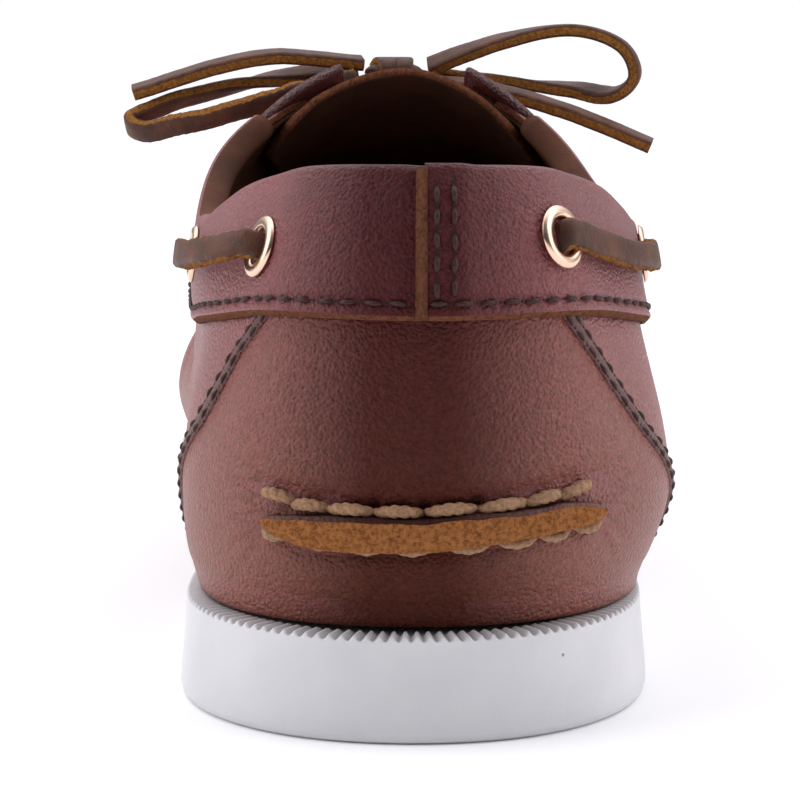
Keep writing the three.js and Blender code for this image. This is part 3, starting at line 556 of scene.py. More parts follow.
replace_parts(insole, "insole")

# ---- Lining -----------------------------------------------------------------
# Soft brown leather lining, glued inside the upper from the sole to the collar and the throat.
# It follows the same last as the upper, one wall thickness further in.
SLOT_MID, THROAT_HALF, THROAT_END = 1.4, 11.0, 164.0
LINING_FACE, LINING_BACK = -2.05, -1.5      # its two sides, inwards from the last's outside, mm
LINING_DROP = 1.6                           # from the collar's edge down to the lining's own
crown_of = (table[1:10, 0], table[1:10, 15])


def smooth(x, a, b):
    """Goes smoothly from 0 at a to 1 at b."""
    t = np.clip((np.asarray(x, float) - a) / (b - a), 0, 1)
    return t * t * (3 - 2 * t)


def last_point(w, v):
    """Outside of the last at place w round the shoe and level v: 0 tuck, 1 bulge, 2 side, 3 top,
    4 crown."""
    w, v = np.broadcast_arrays(np.asarray(w, float), np.asarray(v, float))
    sx, sy = facing_of(w)
    at, mid, lean, tuck = (COLUMN[k](w) for k in ("at", "mid", "lean", "tuck"))
    r = np.stack([tuck, COLUMN["bulge"](w), COLUMN["side"](w), COLUMN["top"](w), np.zeros(w.shape)], -1)
    heights = [COLUMN[k](w) for k in ("bulge_z", "side_z", "top_z", "crown_z")]
    z = np.stack([rim_z(at - tuck * sy) + GAP] + heights, -1)
    span = np.hypot(np.diff(r), np.diff(z))
    i = np.clip(v.astype(int), 0, 3)
    u = v - i
    pick = lambda a, j: np.take_along_axis(a, j[..., None], -1)[..., 0]
    out = []
    for a, first, final in ((r, 1.35, -1.0), (z, 0.85, 0.0)):
        d = np.diff(a) / span
        m = np.empty(a.shape)
        m[..., 0], m[..., 4] = d[..., 0] * first, final
        before, after = span[..., :3], span[..., 1:]
        m[..., 1:4] = (d[..., :3] * after + d[..., 1:] * before) / (before + after)
        h = pick(span, i)
        out.append(pick(a, i) * (2 * u ** 3 - 3 * u ** 2 + 1) + pick(a, i + 1) * (3 * u ** 2 - 2 * u ** 3)
                   + h * (pick(m, i) * (u ** 3 - 2 * u ** 2 + u) + pick(m, i + 1) * (u ** 3 - u ** 2)))
    reach, high = out
    return np.stack([mid + reach * sx - lean * smooth(high, 16, 34), HEEL_SEAT - at + reach * sy, high], -1)


def last_normal(w, v):
    """The way out of the last there; straight up from its crown line, level at its foot."""
    w, v = np.broadcast_arrays(np.asarray(w, float), np.asarray(v, float))
    low, e = np.minimum(v, 3.96), 0.02
    n = unit(np.cross(last_point(w, np.minimum(low + e, 3.98)) - last_point(w, np.maximum(low - e, 0)),
                      last_point(w + e, low) - last_point(w - e, low)))
    at = COLUMN["at"](w)
    fall = (np.interp(at + 9, *crown_of) - np.interp(at - 9, *crown_of)) / 18
    crown = unit(np.stack([np.zeros(w.shape), fall, np.ones(w.shape)], -1))
    blend = smooth(v, 3.9, 3.99)[..., None]
    n = unit(n * (1 - blend) + crown * blend)
    flat = n * np.stack([np.ones(w.shape), np.ones(w.shape), smooth(v, 0, 0.15)], -1)
    return unit(flat)


def on_last(w, v, off):
    """A point off mm outside the last."""
    return last_point(w, v) + last_normal(w, v) * np.asarray(off, float)[..., None]


def find_level(test, shape, low, high):
    """Where test turns from true to false between low and high, by halving."""
    a, b = np.full(shape, float(low)), np.full(shape, float(high))
    for _ in range(30):
        m = (a + b) / 2
        below = test(m)
        a, b = np.where(below, m, a), np.where(below, b, m)
    return (a + b) / 2


def level_at_z(w, z):
    """Level at a height above the floor."""
    return find_level(lambda v: last_point(w, v)[..., 2] < z, np.broadcast(w, z).shape, 0, 3.6)


def level_at_reach(w, r):
    """Level at a distance sideways from the middle line."""
    mid = COLUMN["mid"](w)
    return find_level(lambda v: np.abs(last_point(w, v)[..., 0] - mid) > r, np.shape(w), 1.5, 4)


def row_at(s):
    """The medial place w at a distance forward of the heel's back."""
    return find_level(lambda w: COLUMN["at"](w) < s, (), 0, LAST).item()


def under_collar(w, drop=0.0):
    """Level of the collar's top edge, or drop mm below it."""
    def low(v):
        p = last_point(w, v)
        return p[..., 2] < top_z(HEEL_SEAT - p[..., 1]) - drop
    return find_level(low, np.shape(w), 0.5, 4)


def slot_edge(w, more=0.0):
    """Level of the edge of the throat's slot: beside its straight part and round its front end."""
    def outside(v):
        p = last_point(w, v)
        s = HEEL_SEAT - p[..., 1]
        past = np.clip((s - (THROAT_END - THROAT_HALF)) / (THROAT_HALF + more), 0, 1)
        half = (THROAT_HALF + more) * np.sqrt(1 - past ** 2)
        return np.abs(p[..., 0] - SLOT_MID) > half
    return find_level(outside, np.shape(w), 1.5, 4)


def top_level(w, drop=0.0, more=0.0):
    """Level of the upper's top edge: the collar's or the throat's, whichever is lower."""
    return np.minimum(under_collar(w, drop), slot_edge(w, more))


def across(n, width, fine=(0, 0.12, 0.3, 0.6)):
    """Shares from 0 to 1, n of them even, with a few close to both ends for a rounded edge."""
    ends = np.array(fine) / width
    return np.unique(np.round(np.concatenate([np.linspace(ends[-1], 1 - ends[-1], n), ends, 1 - ends]), 6))


def rounding(t, width, size=0.6):
    """How far a surface drops towards both edges of a sheet, as a share of the rounding."""
    d = np.minimum(t, 1 - t) * width
    return np.sqrt(np.clip(1 - (1 - np.clip(d / size, 0, 1)) ** 2, 0, 1)) - 1


def sheet(name, outer, inner, face, edge, wrap=False, back=None, weld=False):
    """A closed sheet from two n by m grids of points in mm; its cut edges have their own material."""
    n, m = outer.shape[:2]
    ring = np.concatenate([outer, inner[:, ::-1]], 1)
    k = 2 * m
    i = np.arange(n if wrap else n - 1)[:, None]
    j = np.arange(k)[None, :]
    a, b = i * k + j, ((i + 1) % n) * k + j
    c, d = ((i + 1) % n) * k + (j + 1) % k, i * k + (j + 1) % k
    faces = np.stack([a, d, c, b], -1).reshape(-1, 4)
    kinds = np.where((j == m - 1) | (j == k - 1), 1, np.where(j >= m, 2 if back else 0, 0))
    kinds = np.broadcast_to(kinds, a.shape).reshape(-1).tolist()
    faces = faces.tolist()
    if not wrap:
        for row, flip in ((0, False), (n - 1, True)):
            for q in range(m - 1):
                one = [row * k + q, row * k + k - 1 - q, row * k + k - 2 - q, row * k + q + 1]
                faces.append(one[::-1] if flip else one)
                kinds.append(1)
    made = mesh_of(name, ring.reshape(-1, 3), faces, kinds)
    if weld:
        b = bmesh.new()
        b.from_mesh(made)
        bmesh.ops.remove_doubles(b, verts=b.verts, dist=3e-5)
        bmesh.ops.dissolve_degenerate(b, edges=b.edges, dist=1e-6)
        b.to_mesh(made)
        b.free()
    return show(name, made, face, edge, *([back] if back else []))


raw_edge = cut_leather("raw_cut_edge", "#7c4b32", "#4c2b1e", 1300)
w = around(2.2)[:-1, None]
v = 0.02 + (top_level(w, LINING_DROP) - 0.02) * np.linspace(0, 1, 46)[None, :]
lining = sheet("lining", on_last(w, v, LINING_BACK), on_last(w, v, LINING_FACE), lining_skin, lining_skin,
               wrap=True, weld=True)

# ---- Upper wall -------------------------------------------------------------
# Smooth cowhide dyed burgundy brown, lasted round the foot: the two quarters and the wall of the
# toe in one run, tucked in at the sole, puckered a little under the toe seam, creased at the ball.
APRON_V = 2.55              # level of the toe seam on the last
WALL_BACK = -1.45           # the wall's inner side, from the last's outside, mm
TUCK_PITCH = 7.1            # between the tucks and the stitches of the toe seam, mm


def shoe_leather(name, deep, pale, warm, rough=0.42, grain=1750, relief=0.95):
    """Dyed full-grain leather: fine crinkled pebble, a soft waxed sheen, painted shade deeper down the
    middle of the heel and a painted sheen paler on its flanks, a warmer brown low down, with slow
    clouding of the dye."""
    made, tree, shader = material(name, rough, 1.5)
    where = put(tree, "TexCoord").outputs["Object"]
    cloud = put(tree, "TexNoise", {"Vector": where}, {"Scale": 32, "Detail": 3, "Roughness": 0.55})
    tone = put(tree, "ValToRGB", {"Fac": cloud.outputs["Fac"]},
               stops=((0.3, linear(deep)), (0.72, linear(pale))))
    apart = put(tree, "SeparateXYZ", {"Vector": where})
    # the painted shade is deepest down the middle of the heel and fades out forward of it; the flanks get a
    # painted sheen
    heel = put(tree, "MapRange", {"Value": apart.outputs["Y"]},
               {"From Min": -0.03, "From Max": 0.004, "To Min": 0.018, "To Max": 0.0})
    side = put(tree, "Math", {0: apart.outputs["X"]}, operation="ABSOLUTE")
    wide = put(tree, "Math", {0: side.outputs[0], 1: heel.outputs["Result"]}, operation="ADD")
    # painted shade and sheen: the base colour is halved down the middle of the heel and up to 1.5 times
    # brighter on its flanks
    painted_shade_and_sheen = put(tree, "MapRange", {"Value": wide.outputs[0]},
                {"From Min": 0.004, "From Max": 0.028, "To Min": 0.50, "To Max": 1.5},
                interpolation_type="SMOOTHSTEP")
    wax = put(tree, "MapRange", {"Value": wide.outputs[0]},
              {"From Min": 0.006, "From Max": 0.030, "To Min": 0.10, "To Max": 0.85})
    tree.links.new(wax.outputs["Result"], shader.inputs["Specular IOR Level"])
    low = put(tree, "MapRange", {"Value": apart.outputs["Z"]},
              {"From Min": 0.062, "From Max": 0.020, "To Min": 0.0, "To Max": 0.75})
    mixed = put(tree, "Mix", {"Factor": low.outputs["Result"], "A": tone.outputs["Color"]}, {7: linear(warm)},
                data_type="RGBA")
    speck = put(tree, "TexNoise", {"Vector": where}, {"Scale": 1500, "Detail": 2})
    fine = put(tree, "MapRange", {"Value": speck.outputs["Fac"]},
               {"From Min": 0.3, "From Max": 0.7, "To Min": 0.74, "To Max": 1.2})
    # random speck tone times the painted shade and sheen
    depth = put(tree, "Math", {0: fine.outputs["Result"], 1: painted_shade_and_sheen.outputs["Result"]}, operation="MULTIPLY")
    shaded = put(tree, "VectorMath", {0: mixed.outputs[2]}, operation="SCALE")
    tree.links.new(depth.outputs[0], shaded.inputs["Scale"])
    tree.links.new(shaded.outputs["Vector"], shader.inputs["Base Color"])
    cells = put(tree, "TexVoronoi", {"Vector": where},
                {"Scale": grain, "Randomness": 1.0, "Smoothness": 0.35}, feature="SMOOTH_F1")
    crease = put(tree, "TexNoise", {"Vector": where},
                 {"Scale": grain * 0.62, "Detail": 3, "Roughness": 0.6, "Distortion": 1.6})
    both = put(tree, "Math", {0: crease.outputs["Fac"], 1: cells.outputs["Distance"]}, operation="SUBTRACT")
    bump = put(tree, "Bump", {"Height": both.outputs[0]}, {"Strength": relief, "Distance": 0.00035})
    tree.links.new(bump.outputs["Normal"], shader.inputs["Normal"])
    worn = put(tree, "MapRange", {"Value": cloud.outputs["Fac"]},
               {"To Min": rough - 0.06, "To Max": rough + 0.08})
    tree.links.new(worn.outputs["Result"], shader.inputs["Roughness"])
    return made


quarter_leather = shoe_leather("burgundy_quarter_leather", "#662e2e", "#783b38", "#703a30")
SEAM_AT = (  # height, then where the counter's front seam stands on the medial and lateral side
    (10, 3.9, 3.7), (20, 3.5, 3.3), (30, 3.0, 2.8), (37, 2.62, 2.42), (43, 2.28, 2.06), (50, 2.06, 1.76),
    (54, 1.93, 1.6), (58, 1.68, 1.40), (63, 1.4, 1.15), (72, 0.9, 0.7))
seam_z, medial_w, lateral_w = np.array(SEAM_AT, float).T
seam_w = {1: medial_w, -1: lateral_w}
w = around(1.25, 0.5, 2 * LAST - 0.4)[:, None]
# beside and before the throat the wall ends at the toe seam; further back it goes up to the collar
joined = smooth(COLUMN["at"](w), 108, 122)
end = (1 - joined) * top_level(w, 1.0) + joined * APRON_V
t = across(64, 70)[None, :]
v = end * t
spot = last_point(w, v)
s_of = HEEL_SEAT - spot[..., 1]
# creases where the shoe bends at the ball, each with its place, depth and breadth in mm, and small
# tucks round the toe under the seam
fold = sum(d * np.exp(-((s_of - c - 0.10 * (spot[..., 2] - 30)) / g) ** 2)
           for c, d, g in ((176, -0.45, 2.2), (186, 0.25, 3.5), (194, -0.5, 2.4), (203, 0.2, 4)))
fold = fold * smooth(spot[..., 2], 20, 34) * smooth(t, 0.98, 0.8)
arc = np.interp(np.minimum(w, 2 * LAST - w), np.arange(LAST + 1), KNOTS)
tucks = 0.35 * np.sin(2 * np.pi * arc / TUCK_PITCH) * smooth(t, 0.72, 1.0) * smooth(COLUMN["at"](w), 150, 190)
skin = fold + tucks + rounding(t, 70) * 0.5
wall = sheet("upper_wall", on_last(w, v, skin), on_last(w, v, WALL_BACK), quarter_leather, raw_edge)
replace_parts(wall, "upper")

# ---- Plug -------------------------------------------------------------------
# The flat top piece over the toes, same hide, sewn to the wall by the raised toe seam. It runs
# back on both sides of the throat, where the eyestay lies on it.
back = row_at(112)
w = around(1.3, back, 2 * LAST - back)[:, None]
t = across(34, 34)[None, :]
start = APRON_V - 0.02
v = start + (np.minimum(top_level(w, 1.0, 1.6), 4.0) - start) * t
spot = last_point(w, v)
s_of = HEEL_SEAT - spot[..., 1]
fold = sum(d * np.exp(-((s_of - c - 0.02 * spot[..., 0]) / g) ** 2)
           for c, d, g in ((177, -0.5, 2.6), (184, 0.3, 3.5), (193, -0.45, 2.6)))
skin = fold * smooth(t, 0.0, 0.25) - 0.5 * np.clip(1 - t * 34 / 0.6, 0, 1)
plug = sheet("plug", on_last(w, v, skin), on_last(w, v, WALL_BACK), quarter_leather, raw_edge, weld=True)
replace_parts(plug, "upper")

# ---- Heel counter -----------------------------------------------------------
# The outer heel piece, one sheet of the same leather stretched round the heel over a stiffener,
# its front edges under the seam strips. Pulled in above the heel ridge, puckered at its ends.
counter_leather = shoe_leather("burgundy_counter_leather", "#642b26", "#723830", "#6c3626")
RIDGE = (  # mm round the heel from its middle, height of the ridge's middle line, half its height
    (-27.6, 32.4, 0.45), (-25.3, 32.4, 1.1), (-20.7, 32.35, 1.75), (-16.5, 31.85, 1.85), (-10.6, 31.3, 2.1),
    (-4.7, 30.8, 2.3), (0.6, 30.3, 2.25), (5.1, 30.3, 2.35), (10.6, 30.3, 2.45), (16.3, 30.35, 2.2),
    (19.3, 30.6, 1.75), (22.1, 30.9, 1.15), (24.2, 31.3, 0.4))
RIDGE_MEDIAL, RIDGE_LATERAL = RIDGE[-1][0], RIDGE[0][0]
COUNTER_SKIN, COUNTER_BACK = 0.22, -1.3     # its two sides, from the last's outside, mm
COUNTER_FOOT, COUNTER_TOP = 16.2, 72.0      # heights of its lower and upper edge; the band hides the top


def heel_arc(w):
    """Distance round the heel from its middle in mm, medial side positive."""
    w = np.asarray(w, float)
    turned = np.where(w > LAST, w - 2 * LAST, w)
    return np.sign(turned) * np.interp(np.abs(turned), np.arange(LAST + 1), KNOTS)


def w_at_arc(a):
    """Place w at a distance round the heel."""
    q = np.interp(np.abs(a), KNOTS, np.arange(LAST + 1))
    return np.where(np.asarray(a) < 0, 2 * LAST - q, q)


def ridge_z(a):
    """Height of the heel ridge's middle line and half its height, along the heel."""
    rows = np.array(RIDGE)
    a = np.asarray(a, float)
    return [curve_at(rows[:, 0], rows[:, k], slopes(rows[:, 0], rows[:, k], True), a) for k in (1, 2)]


HEEL_STITCHES = (  # mm round the heel, length, height of its middle, rise from medial to lateral end
    (22.1, 5.2, 35.2, -0.9), (16.9, 5.1, 34.15, -0.1), (10.8, 6.1, 33.85, -0.2), (3.9, 6.3, 33.7, 0.0),
    (-3.7, 6.7, 34.05, 0.5), (-11.2, 6.7, 34.5, 0.8), (-17.4, 5.2, 35.25, 1.0), (-22.6, 5.4, 36.0, 1.5))
# the low stitches: mm round the heel, length, height
UNDER_STITCHES = (
    (22.6, 4.6, 28.9), (15.2, 5.4, 28.2), (8.1, 5.6, 27.85), (1.4, 6.0, 27.8), (-6.7, 6.4, 28.1),
    (-13.8, 6.2, 28.6), (-19.7, 5.2, 29.2), (-25.3, 5.2, 29.9))
# puckers past each end of the ridge: slope, height over the ridge's end, depth, breadth
PUCKERS = ((0.16, 3.9, -0.6, 0.7), (-0.20, 0.4, -0.45, 0.7), (0.45, 5.6, -0.3, 0.7), (-0.02, 2.2, -0.3, 0.5),
           (-0.5, -1.4, -0.28, 0.7), (0.9, 7.2, -0.2, 0.8), (-0.95, -2.8, -0.2, 0.8))
stitch_arc, _, stitch_z, _ = np.array(HEEL_STITCHES)[::-1].T


def heel_relief(a, z):
    """Shape of the counter: trough over the ridge, dimples at the stitches, puckers."""
    row = np.interp(a, stitch_arc, stitch_z)
    foot = np.interp(a, [p[0] for p in RIDGE], [p[1] - p[2] for p in RIDGE])
    inside = smooth(a, RIDGE_LATERAL - 5, RIDGE_LATERAL + 3) * smooth(a, RIDGE_MEDIAL + 5, RIDGE_MEDIAL - 3)
    out = -0.85 * inside * np.exp(-((z - row - 0.4) / 1.5) ** 2)
    out += 0.45 * inside * np.exp(-((z - row - 4.2) / 2.4) ** 2)
    out += -0.5 * inside * np.exp(-((z - foot + 0.5) / 1.1) ** 2)
    out += 0.35 * inside * np.exp(-((z - foot + 3.6) / 2.2) ** 2)
    for middle, long, high, rise in HEEL_STITCHES:
        for side in (-1, 1):
            out += -0.7 * np.exp(-((a - middle - side * long * 0.56) / 0.7) ** 2
                                 - ((z - high - 0.5 + side * rise / 2) / 0.9) ** 2)
            # small wrinkles fanning up from every hole
            for lean in (-0.55, 0.0, 0.5):
                line = a - middle - side * long * 0.56 - lean * (z - high)
                reach = smooth(z, high + 0.8, high + 1.8) * smooth(z, high + 6.5, high + 2.5)
                out += -0.12 * np.exp(-(line / 0.42) ** 2) * reach
    for end, way, at_row in ((RIDGE_MEDIAL, 1, 31.6), (RIDGE_LATERAL, -1, 32.6)):
        d = (a - end) * way
        for slope, off, deep, broad in PUCKERS:
            line = at_row + off + slope * d
            out += deep * np.exp(-((z - line) / broad) ** 2) * smooth(d, -2.0, 0.6) * smooth(d, 9.5, 2.0)
            swell = smooth(d, -1.0, 1.5) * smooth(d, 9, 3)
            out += -0.45 * deep * np.exp(-((z - line - 1.3) / broad) ** 2) * swell
    # a soft fold above the sole, and a slow wave under the band
    out += -0.35 * np.exp(-((z - 19.0) / 1.8) ** 2) + 0.12 * np.sin(a / 11.0) * np.exp(-((z - 47) / 9) ** 2)
    return out


# the panel's sides follow the seam line, so both directions of the grid run with it
up, aside = np.linspace(0, 1, 150)[:, None], np.linspace(-1, 1, 300)[None, :]
height = COUNTER_FOOT + (COUNTER_TOP - COUNTER_FOOT) * up
reach_w = {side: np.interp(height, seam_z, seam_w[side]) for side in (1, -1)}
w = np.where(aside > 0, reach_w[1], reach_w[-1]) * aside
w = np.where(w < 0, w + 2 * LAST, w)
v = np.where(up == 0, 0.0, level_at_z(w, height))
skin = COUNTER_SKIN + heel_relief(heel_arc(w), last_point(w, v)[..., 2])
counter = sheet("heel_counter", on_last(w, v, skin), on_last(w, v, COUNTER_BACK), counter_leather, raw_edge)
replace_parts(counter, "upper")

# ---- Counter seams ----------------------------------------------------------
# A narrow folded strip of darker leather over each front edge of the counter, from the collar band
# down to the sole, held by two rows of dark waxed thread.
strip_leather = shoe_leather("dark_seam_strip_leather", "#43201c", "#522924", "#5a3026", rough=0.5)
STRIP_WIDE, ROW_APART = 3.8, 2.3            # the strip, its two stitch rows apart, mm
STRIP_FOOT, STRIP_TOP = 11.5, 63.5          # heights of its ends, hidden by the sole's rim and the band


def thread_material(name, color, rough, fibre=2600):
    """Waxed thread: matt, with the ply of its fibres as a fine bump."""
    made, tree, shader = material(name, rough, 1.5, Specular_IOR_Level=0.3)
    where = put(tree, "TexCoord").outputs["Object"]
    ply = put(tree, "TexNoise", {"Vector": where}, {"Scale": fibre, "Detail": 4})
    full = linear(color)
    between = (full[0] * 0.55, full[1] * 0.5, full[2] * 0.45, 1)
    ramp = put(tree, "ValToRGB", {"Fac": ply.outputs["Fac"]}, stops=((0.3, between), (0.62, full)))
    tree.links.new(ramp.outputs["Color"], shader.inputs["Base Color"])
    bump = put(tree, "Bump", {"Height": ply.outputs["Fac"]}, {"Strength": 0.5, "Distance": 0.0002})
    tree.links.new(bump.outputs["Normal"], shader.inputs["Normal"])
    return made


dark_thread = thread_material("dark_brown_waxed_thread", "#3a1c19", 0.5)
# the shadowed inside of a needle hole
hole_dark = material("needle_hole_shadow", 0.9, Base_Color=linear("#1a0c0a"))[0]


def stitches(name, line, out, pitch, long, thick, thread, sink=0.1, first=0.5, holes=True):
    """A row of stitches lying along a line of points in mm; out is the surface's normal there."""
    run = np.concatenate([[0], np.cumsum(np.linalg.norm(np.diff(line, axis=0), axis=1))])
    count = int((run[-1] - long) / pitch)
    verts, faces, kinds = [], [], []
    steps, sides = 7, 7
    for c in range(max(count, 0) + 1):
        middle = first * pitch + c * pitch + draw.uniform(-0.06, 0.06) * pitch
        if middle + long / 2 > run[-1]:
            break
        ats = middle + long * np.linspace(-0.5, 0.5, steps)
        at = np.stack([np.interp(ats, run, line[:, k]) for k in range(3)], 1)
        up = unit(np.stack([np.interp(ats, run, out[:, k]) for k in range(3)], 1))
        ahead = unit(np.gradient(at, axis=0))
        aside = unit(np.cross(up, ahead))
        lean = draw.uniform(-0.08, 0.08)
        arch = np.sin(np.linspace(0, math.pi, steps))
        size = thick / 2 * (0.35 + 0.65 * arch ** 0.5)
        base = len(verts)
        for i in range(steps):
            centre = at[i] + up[i] * (arch[i] * thick * 0.5 - sink) + aside[i] * lean * (ats[i] - middle)
            for q in range(sides):
                a = 2 * math.pi * q / sides
                verts.append(centre + size[i] * (aside[i] * math.cos(a) * 1.15 + up[i] * math.sin(a) * 0.85))
        faces += tube_faces(steps, sides, base) + tube_ends(steps, sides, base)
        kinds += [0] * ((steps - 1) * sides + 2)
        if holes:
            spot = at[-1] + ahead[-1] * (pitch - long) / 2
            base, size, corners = len(verts), max(0.22, thick * 0.34), 8
            for q in range(corners):
                a = 2 * math.pi * q / corners
                rim = ahead[-1] * math.cos(a) * 1.25 + aside[-1] * math.sin(a)
                verts.append(spot + up[-1] * 0.03 + size * rim)
            verts.append(spot + up[-1] * 0.08)
            faces += [(base + q, base + (q + 1) % corners, base + corners) for q in range(corners)]
            kinds += [1] * corners
    return show(name, mesh_of(name, verts, faces, kinds), thread, hole_dark)


for side, name in ((1, "medial"), (-1, "lateral")):
    z = np.linspace(STRIP_FOOT, STRIP_TOP, 90)[:, None]
    mid_w = np.interp(z, seam_z, seam_w[side])
    t = across(9, STRIP_WIDE, (0, 0.15, 0.35, 0.7))[None, :]
    per_mm = 1 / np.interp(mid_w, np.arange(LAST) + 0.5, np.diff(KNOTS))
    own_w = mid_w + (t - 0.5) * STRIP_WIDE * per_mm
    w = own_w if side > 0 else 2 * LAST - own_w
    v = level_at_z(w, z)
    grooves = -0.28 * (np.exp(-(((t - 0.5) * STRIP_WIDE - ROW_APART / 2) / 0.45) ** 2)
                       + np.exp(-(((t - 0.5) * STRIP_WIDE + ROW_APART / 2) / 0.45) ** 2))
    skin = 0.85 + 0.55 * rounding(t, STRIP_WIDE, 0.7) + grooves
    strip = sheet(f"counter_seam_{name}", on_last(w, v, skin), on_last(w, v, -0.4),
                  strip_leather, strip_leather)
    for row, row_name in ((-1, "rear"), (1, "front")):
        lw = mid_w[:, 0] + row * ROW_APART / 2 * per_mm[:, 0]
        lw = lw if side > 0 else 2 * LAST - lw
        lv = level_at_z(lw, z[:, 0])
        made = stitches(f"counter_stitches_{name}_{row_name}", on_last(lw, lv, 0.62), last_normal(lw, lv),
                        3.3, 2.3, 0.62, dark_thread)

# ---- Heel ridge -------------------------------------------------------------
# The turned-out edge of the heel seam: thick undyed hide cut flat, its dry tan fibre outwards and a
# thin line of the dyed grain along the top. It is sewn by hand from above.
ridge_fibre = cut_leather("tan_split_edge", "#b0713f", "#683c20", 1500)
RIDGE_STANDS = 1.95                         # how far the cut edge stands out, mm
a = np.linspace(RIDGE_LATERAL, RIDGE_MEDIAL, 190)
w = w_at_arc(a)[:, None]
middle, half = ridge_z(a)
angles = np.linspace(-math.pi / 2, math.pi / 2, 17)
ring_z = np.sign(np.sin(angles)) * np.abs(np.sin(angles)) ** 0.55
ring_out = np.abs(np.cos(angles)) ** 0.45
jitter = np.array([[draw.uniform(-1, 1) for _ in angles] for _ in a])
jitter = (jitter + np.roll(jitter, 1, 0) + np.roll(jitter, -1, 0)) / 3
end = smooth(np.minimum(a - RIDGE_LATERAL, RIDGE_MEDIAL - a), 0, 3.5)[:, None]
z = middle[:, None] + half[:, None] * ring_z[None, :]
v = level_at_z(w, z)
uneven = 0.25 * np.sin(a / 3.1) * np.sin(a / 1.7)
off = GAP + 0.2 + (RIDGE_STANDS * (0.55 + 0.45 * end) + 0.16 * jitter + uneven[:, None]) * ring_out[None, :]
ridge = sheet("heel_ridge", on_last(w, v, off), on_last(w, v, -0.8), ridge_fibre, ridge_fibre)
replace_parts(ridge, "heel_seam")
grain_out = GAP + 0.9 + 0.8 * end[:, 0] + 0.05 * jitter[:, 8]
grain_line = []
for up, out in ((-0.35, grain_out), (0.25, grain_out), (0.25, -0.2), (-0.35, -0.2)):
    grain_line.append(on_last(w[:, 0], level_at_z(w[:, 0], middle + half + up), out))
lip = show("heel_ridge_grain", grid_mesh("heel_ridge_grain", np.stack(grain_line, 1)), strip_leather)

# ---- Heel stitches ----------------------------------------------------------
# Thick beige thread, two plies twisted and waxed, sewn by hand: eight short mounds over the ridge
# that dive into the counter, and the low parts of the same thread just showing under the ridge.
beige_thread = thread_material("beige_waxed_thread", "#a27d60", 0.75, 1900)


def thick_stitch(verts, faces, points, ups, thick, turns):
    """One two-ply stitch along points in mm, added to lists of corners and faces."""
    n, sides = len(points), 20
    ahead = unit(np.gradient(points, axis=0))
    aside = unit(np.cross(ups, ahead))
    up = np.cross(ahead, aside)
    t = np.linspace(0, 1, n)
    size = thick / 2 * (0.62 + 0.38 * np.sin(t * math.pi) ** 0.6)
    base = len(verts)
    for i in range(n):
        for q in range(sides):
            angle = 2 * math.pi * q / sides
            lobe = 0.80 + 0.24 * abs(math.cos(angle - t[i] * turns * math.pi)) + draw.uniform(-0.012, 0.012)
            verts.append(points[i] + size[i] * lobe * (aside[i] * math.cos(angle) + up[i] * math.sin(angle)))
    faces += tube_faces(n, sides, base) + tube_ends(n, sides, base)


verts, faces = [], []
for middle_a, long, high, rise in HEEL_STITCHES:
    t = np.linspace(-0.5, 0.5, 26)
    arch = np.cos(t * math.pi)
    a = middle_a - t * long * 1.06
    z = high - 0.35 + 0.55 * arch + t * rise
    w = w_at_arc(a)
    v = level_at_z(w, z)
    thick_stitch(verts, faces, on_last(w, v, -0.7 + 1.6 * arch ** 0.7), last_normal(w, v), 1.9, 4.4)
for middle_a, long, high in UNDER_STITCHES:
    t = np.linspace(-0.5, 0.5, 20)
    arch = np.cos(t * math.pi)
    a = middle_a - t * long
    w = w_at_arc(a)
    v = level_at_z(w, high + 0.6 - 0.5 * arch)
    thick_stitch(verts, faces, on_last(w, v, -0.5 + 1.1 * arch ** 0.7), last_normal(w, v), 1.5, 3.6)
made = show("heel_stitches", mesh_of("heel_stitches", verts, faces), beige_thread)

# ---- Toe seam ---------------------------------------------------------------
# The raised seam round the toe: the edge of the wall turned up against the plug and oversewn by
# hand with thick thread, so it reads as a rolled ridge with regular slanting tucks.
w = around(0.9, row_at(116), 2 * LAST - row_at(116))[:, None]
t = np.linspace(0, 1, 15)[None, :]
ROLL_WIDE, ROLL_HIGH, STITCH_LONG = 4.0, 1.9, 5.4       # the rolled edge, then a stitch over it, mm


def mm_per_level(w):
    """How far apart two levels of the last are at the toe seam."""
    probe = 0.05
    apart = last_point(w, APRON_V + probe) - last_point(w, APRON_V - probe)
    return np.linalg.norm(apart, axis=-1) / (2 * probe)


v = APRON_V + (t - 0.5) * ROLL_WIDE / mm_per_level(w)
dome = np.sin(t * math.pi).clip(0, 1) ** 0.55
pinch = 0.28 * np.sin(2 * np.pi * (heel_arc(w) + 2.0 * t) / TUCK_PITCH) * dome
skin = -0.35 + (ROLL_HIGH + pinch) * dome * smooth(COLUMN["at"](w), 112, 122)
roll = sheet("toe_seam_ridge", on_last(w, v, skin), on_last(w, v, -0.9), quarter_leather, quarter_leather)
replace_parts(roll, "apron_seam")
verts, faces = [], []
for middle_w in around(TUCK_PITCH, row_at(124), 2 * LAST - row_at(124)):
    t = np.linspace(-0.5, 0.5, 16)
    arch = np.cos(t * math.pi)
    w = middle_w + t * 0.04
    v = APRON_V + t * STITCH_LONG / mm_per_level(middle_w)
    thick_stitch(verts, faces, on_last(w, v, -0.6 + 2.5 * arch ** 0.8), last_normal(w, v), 1.6, 3.4)
made = show("toe_seam_stitches", mesh_of("toe_seam_stitches", verts, faces), beige_thread)

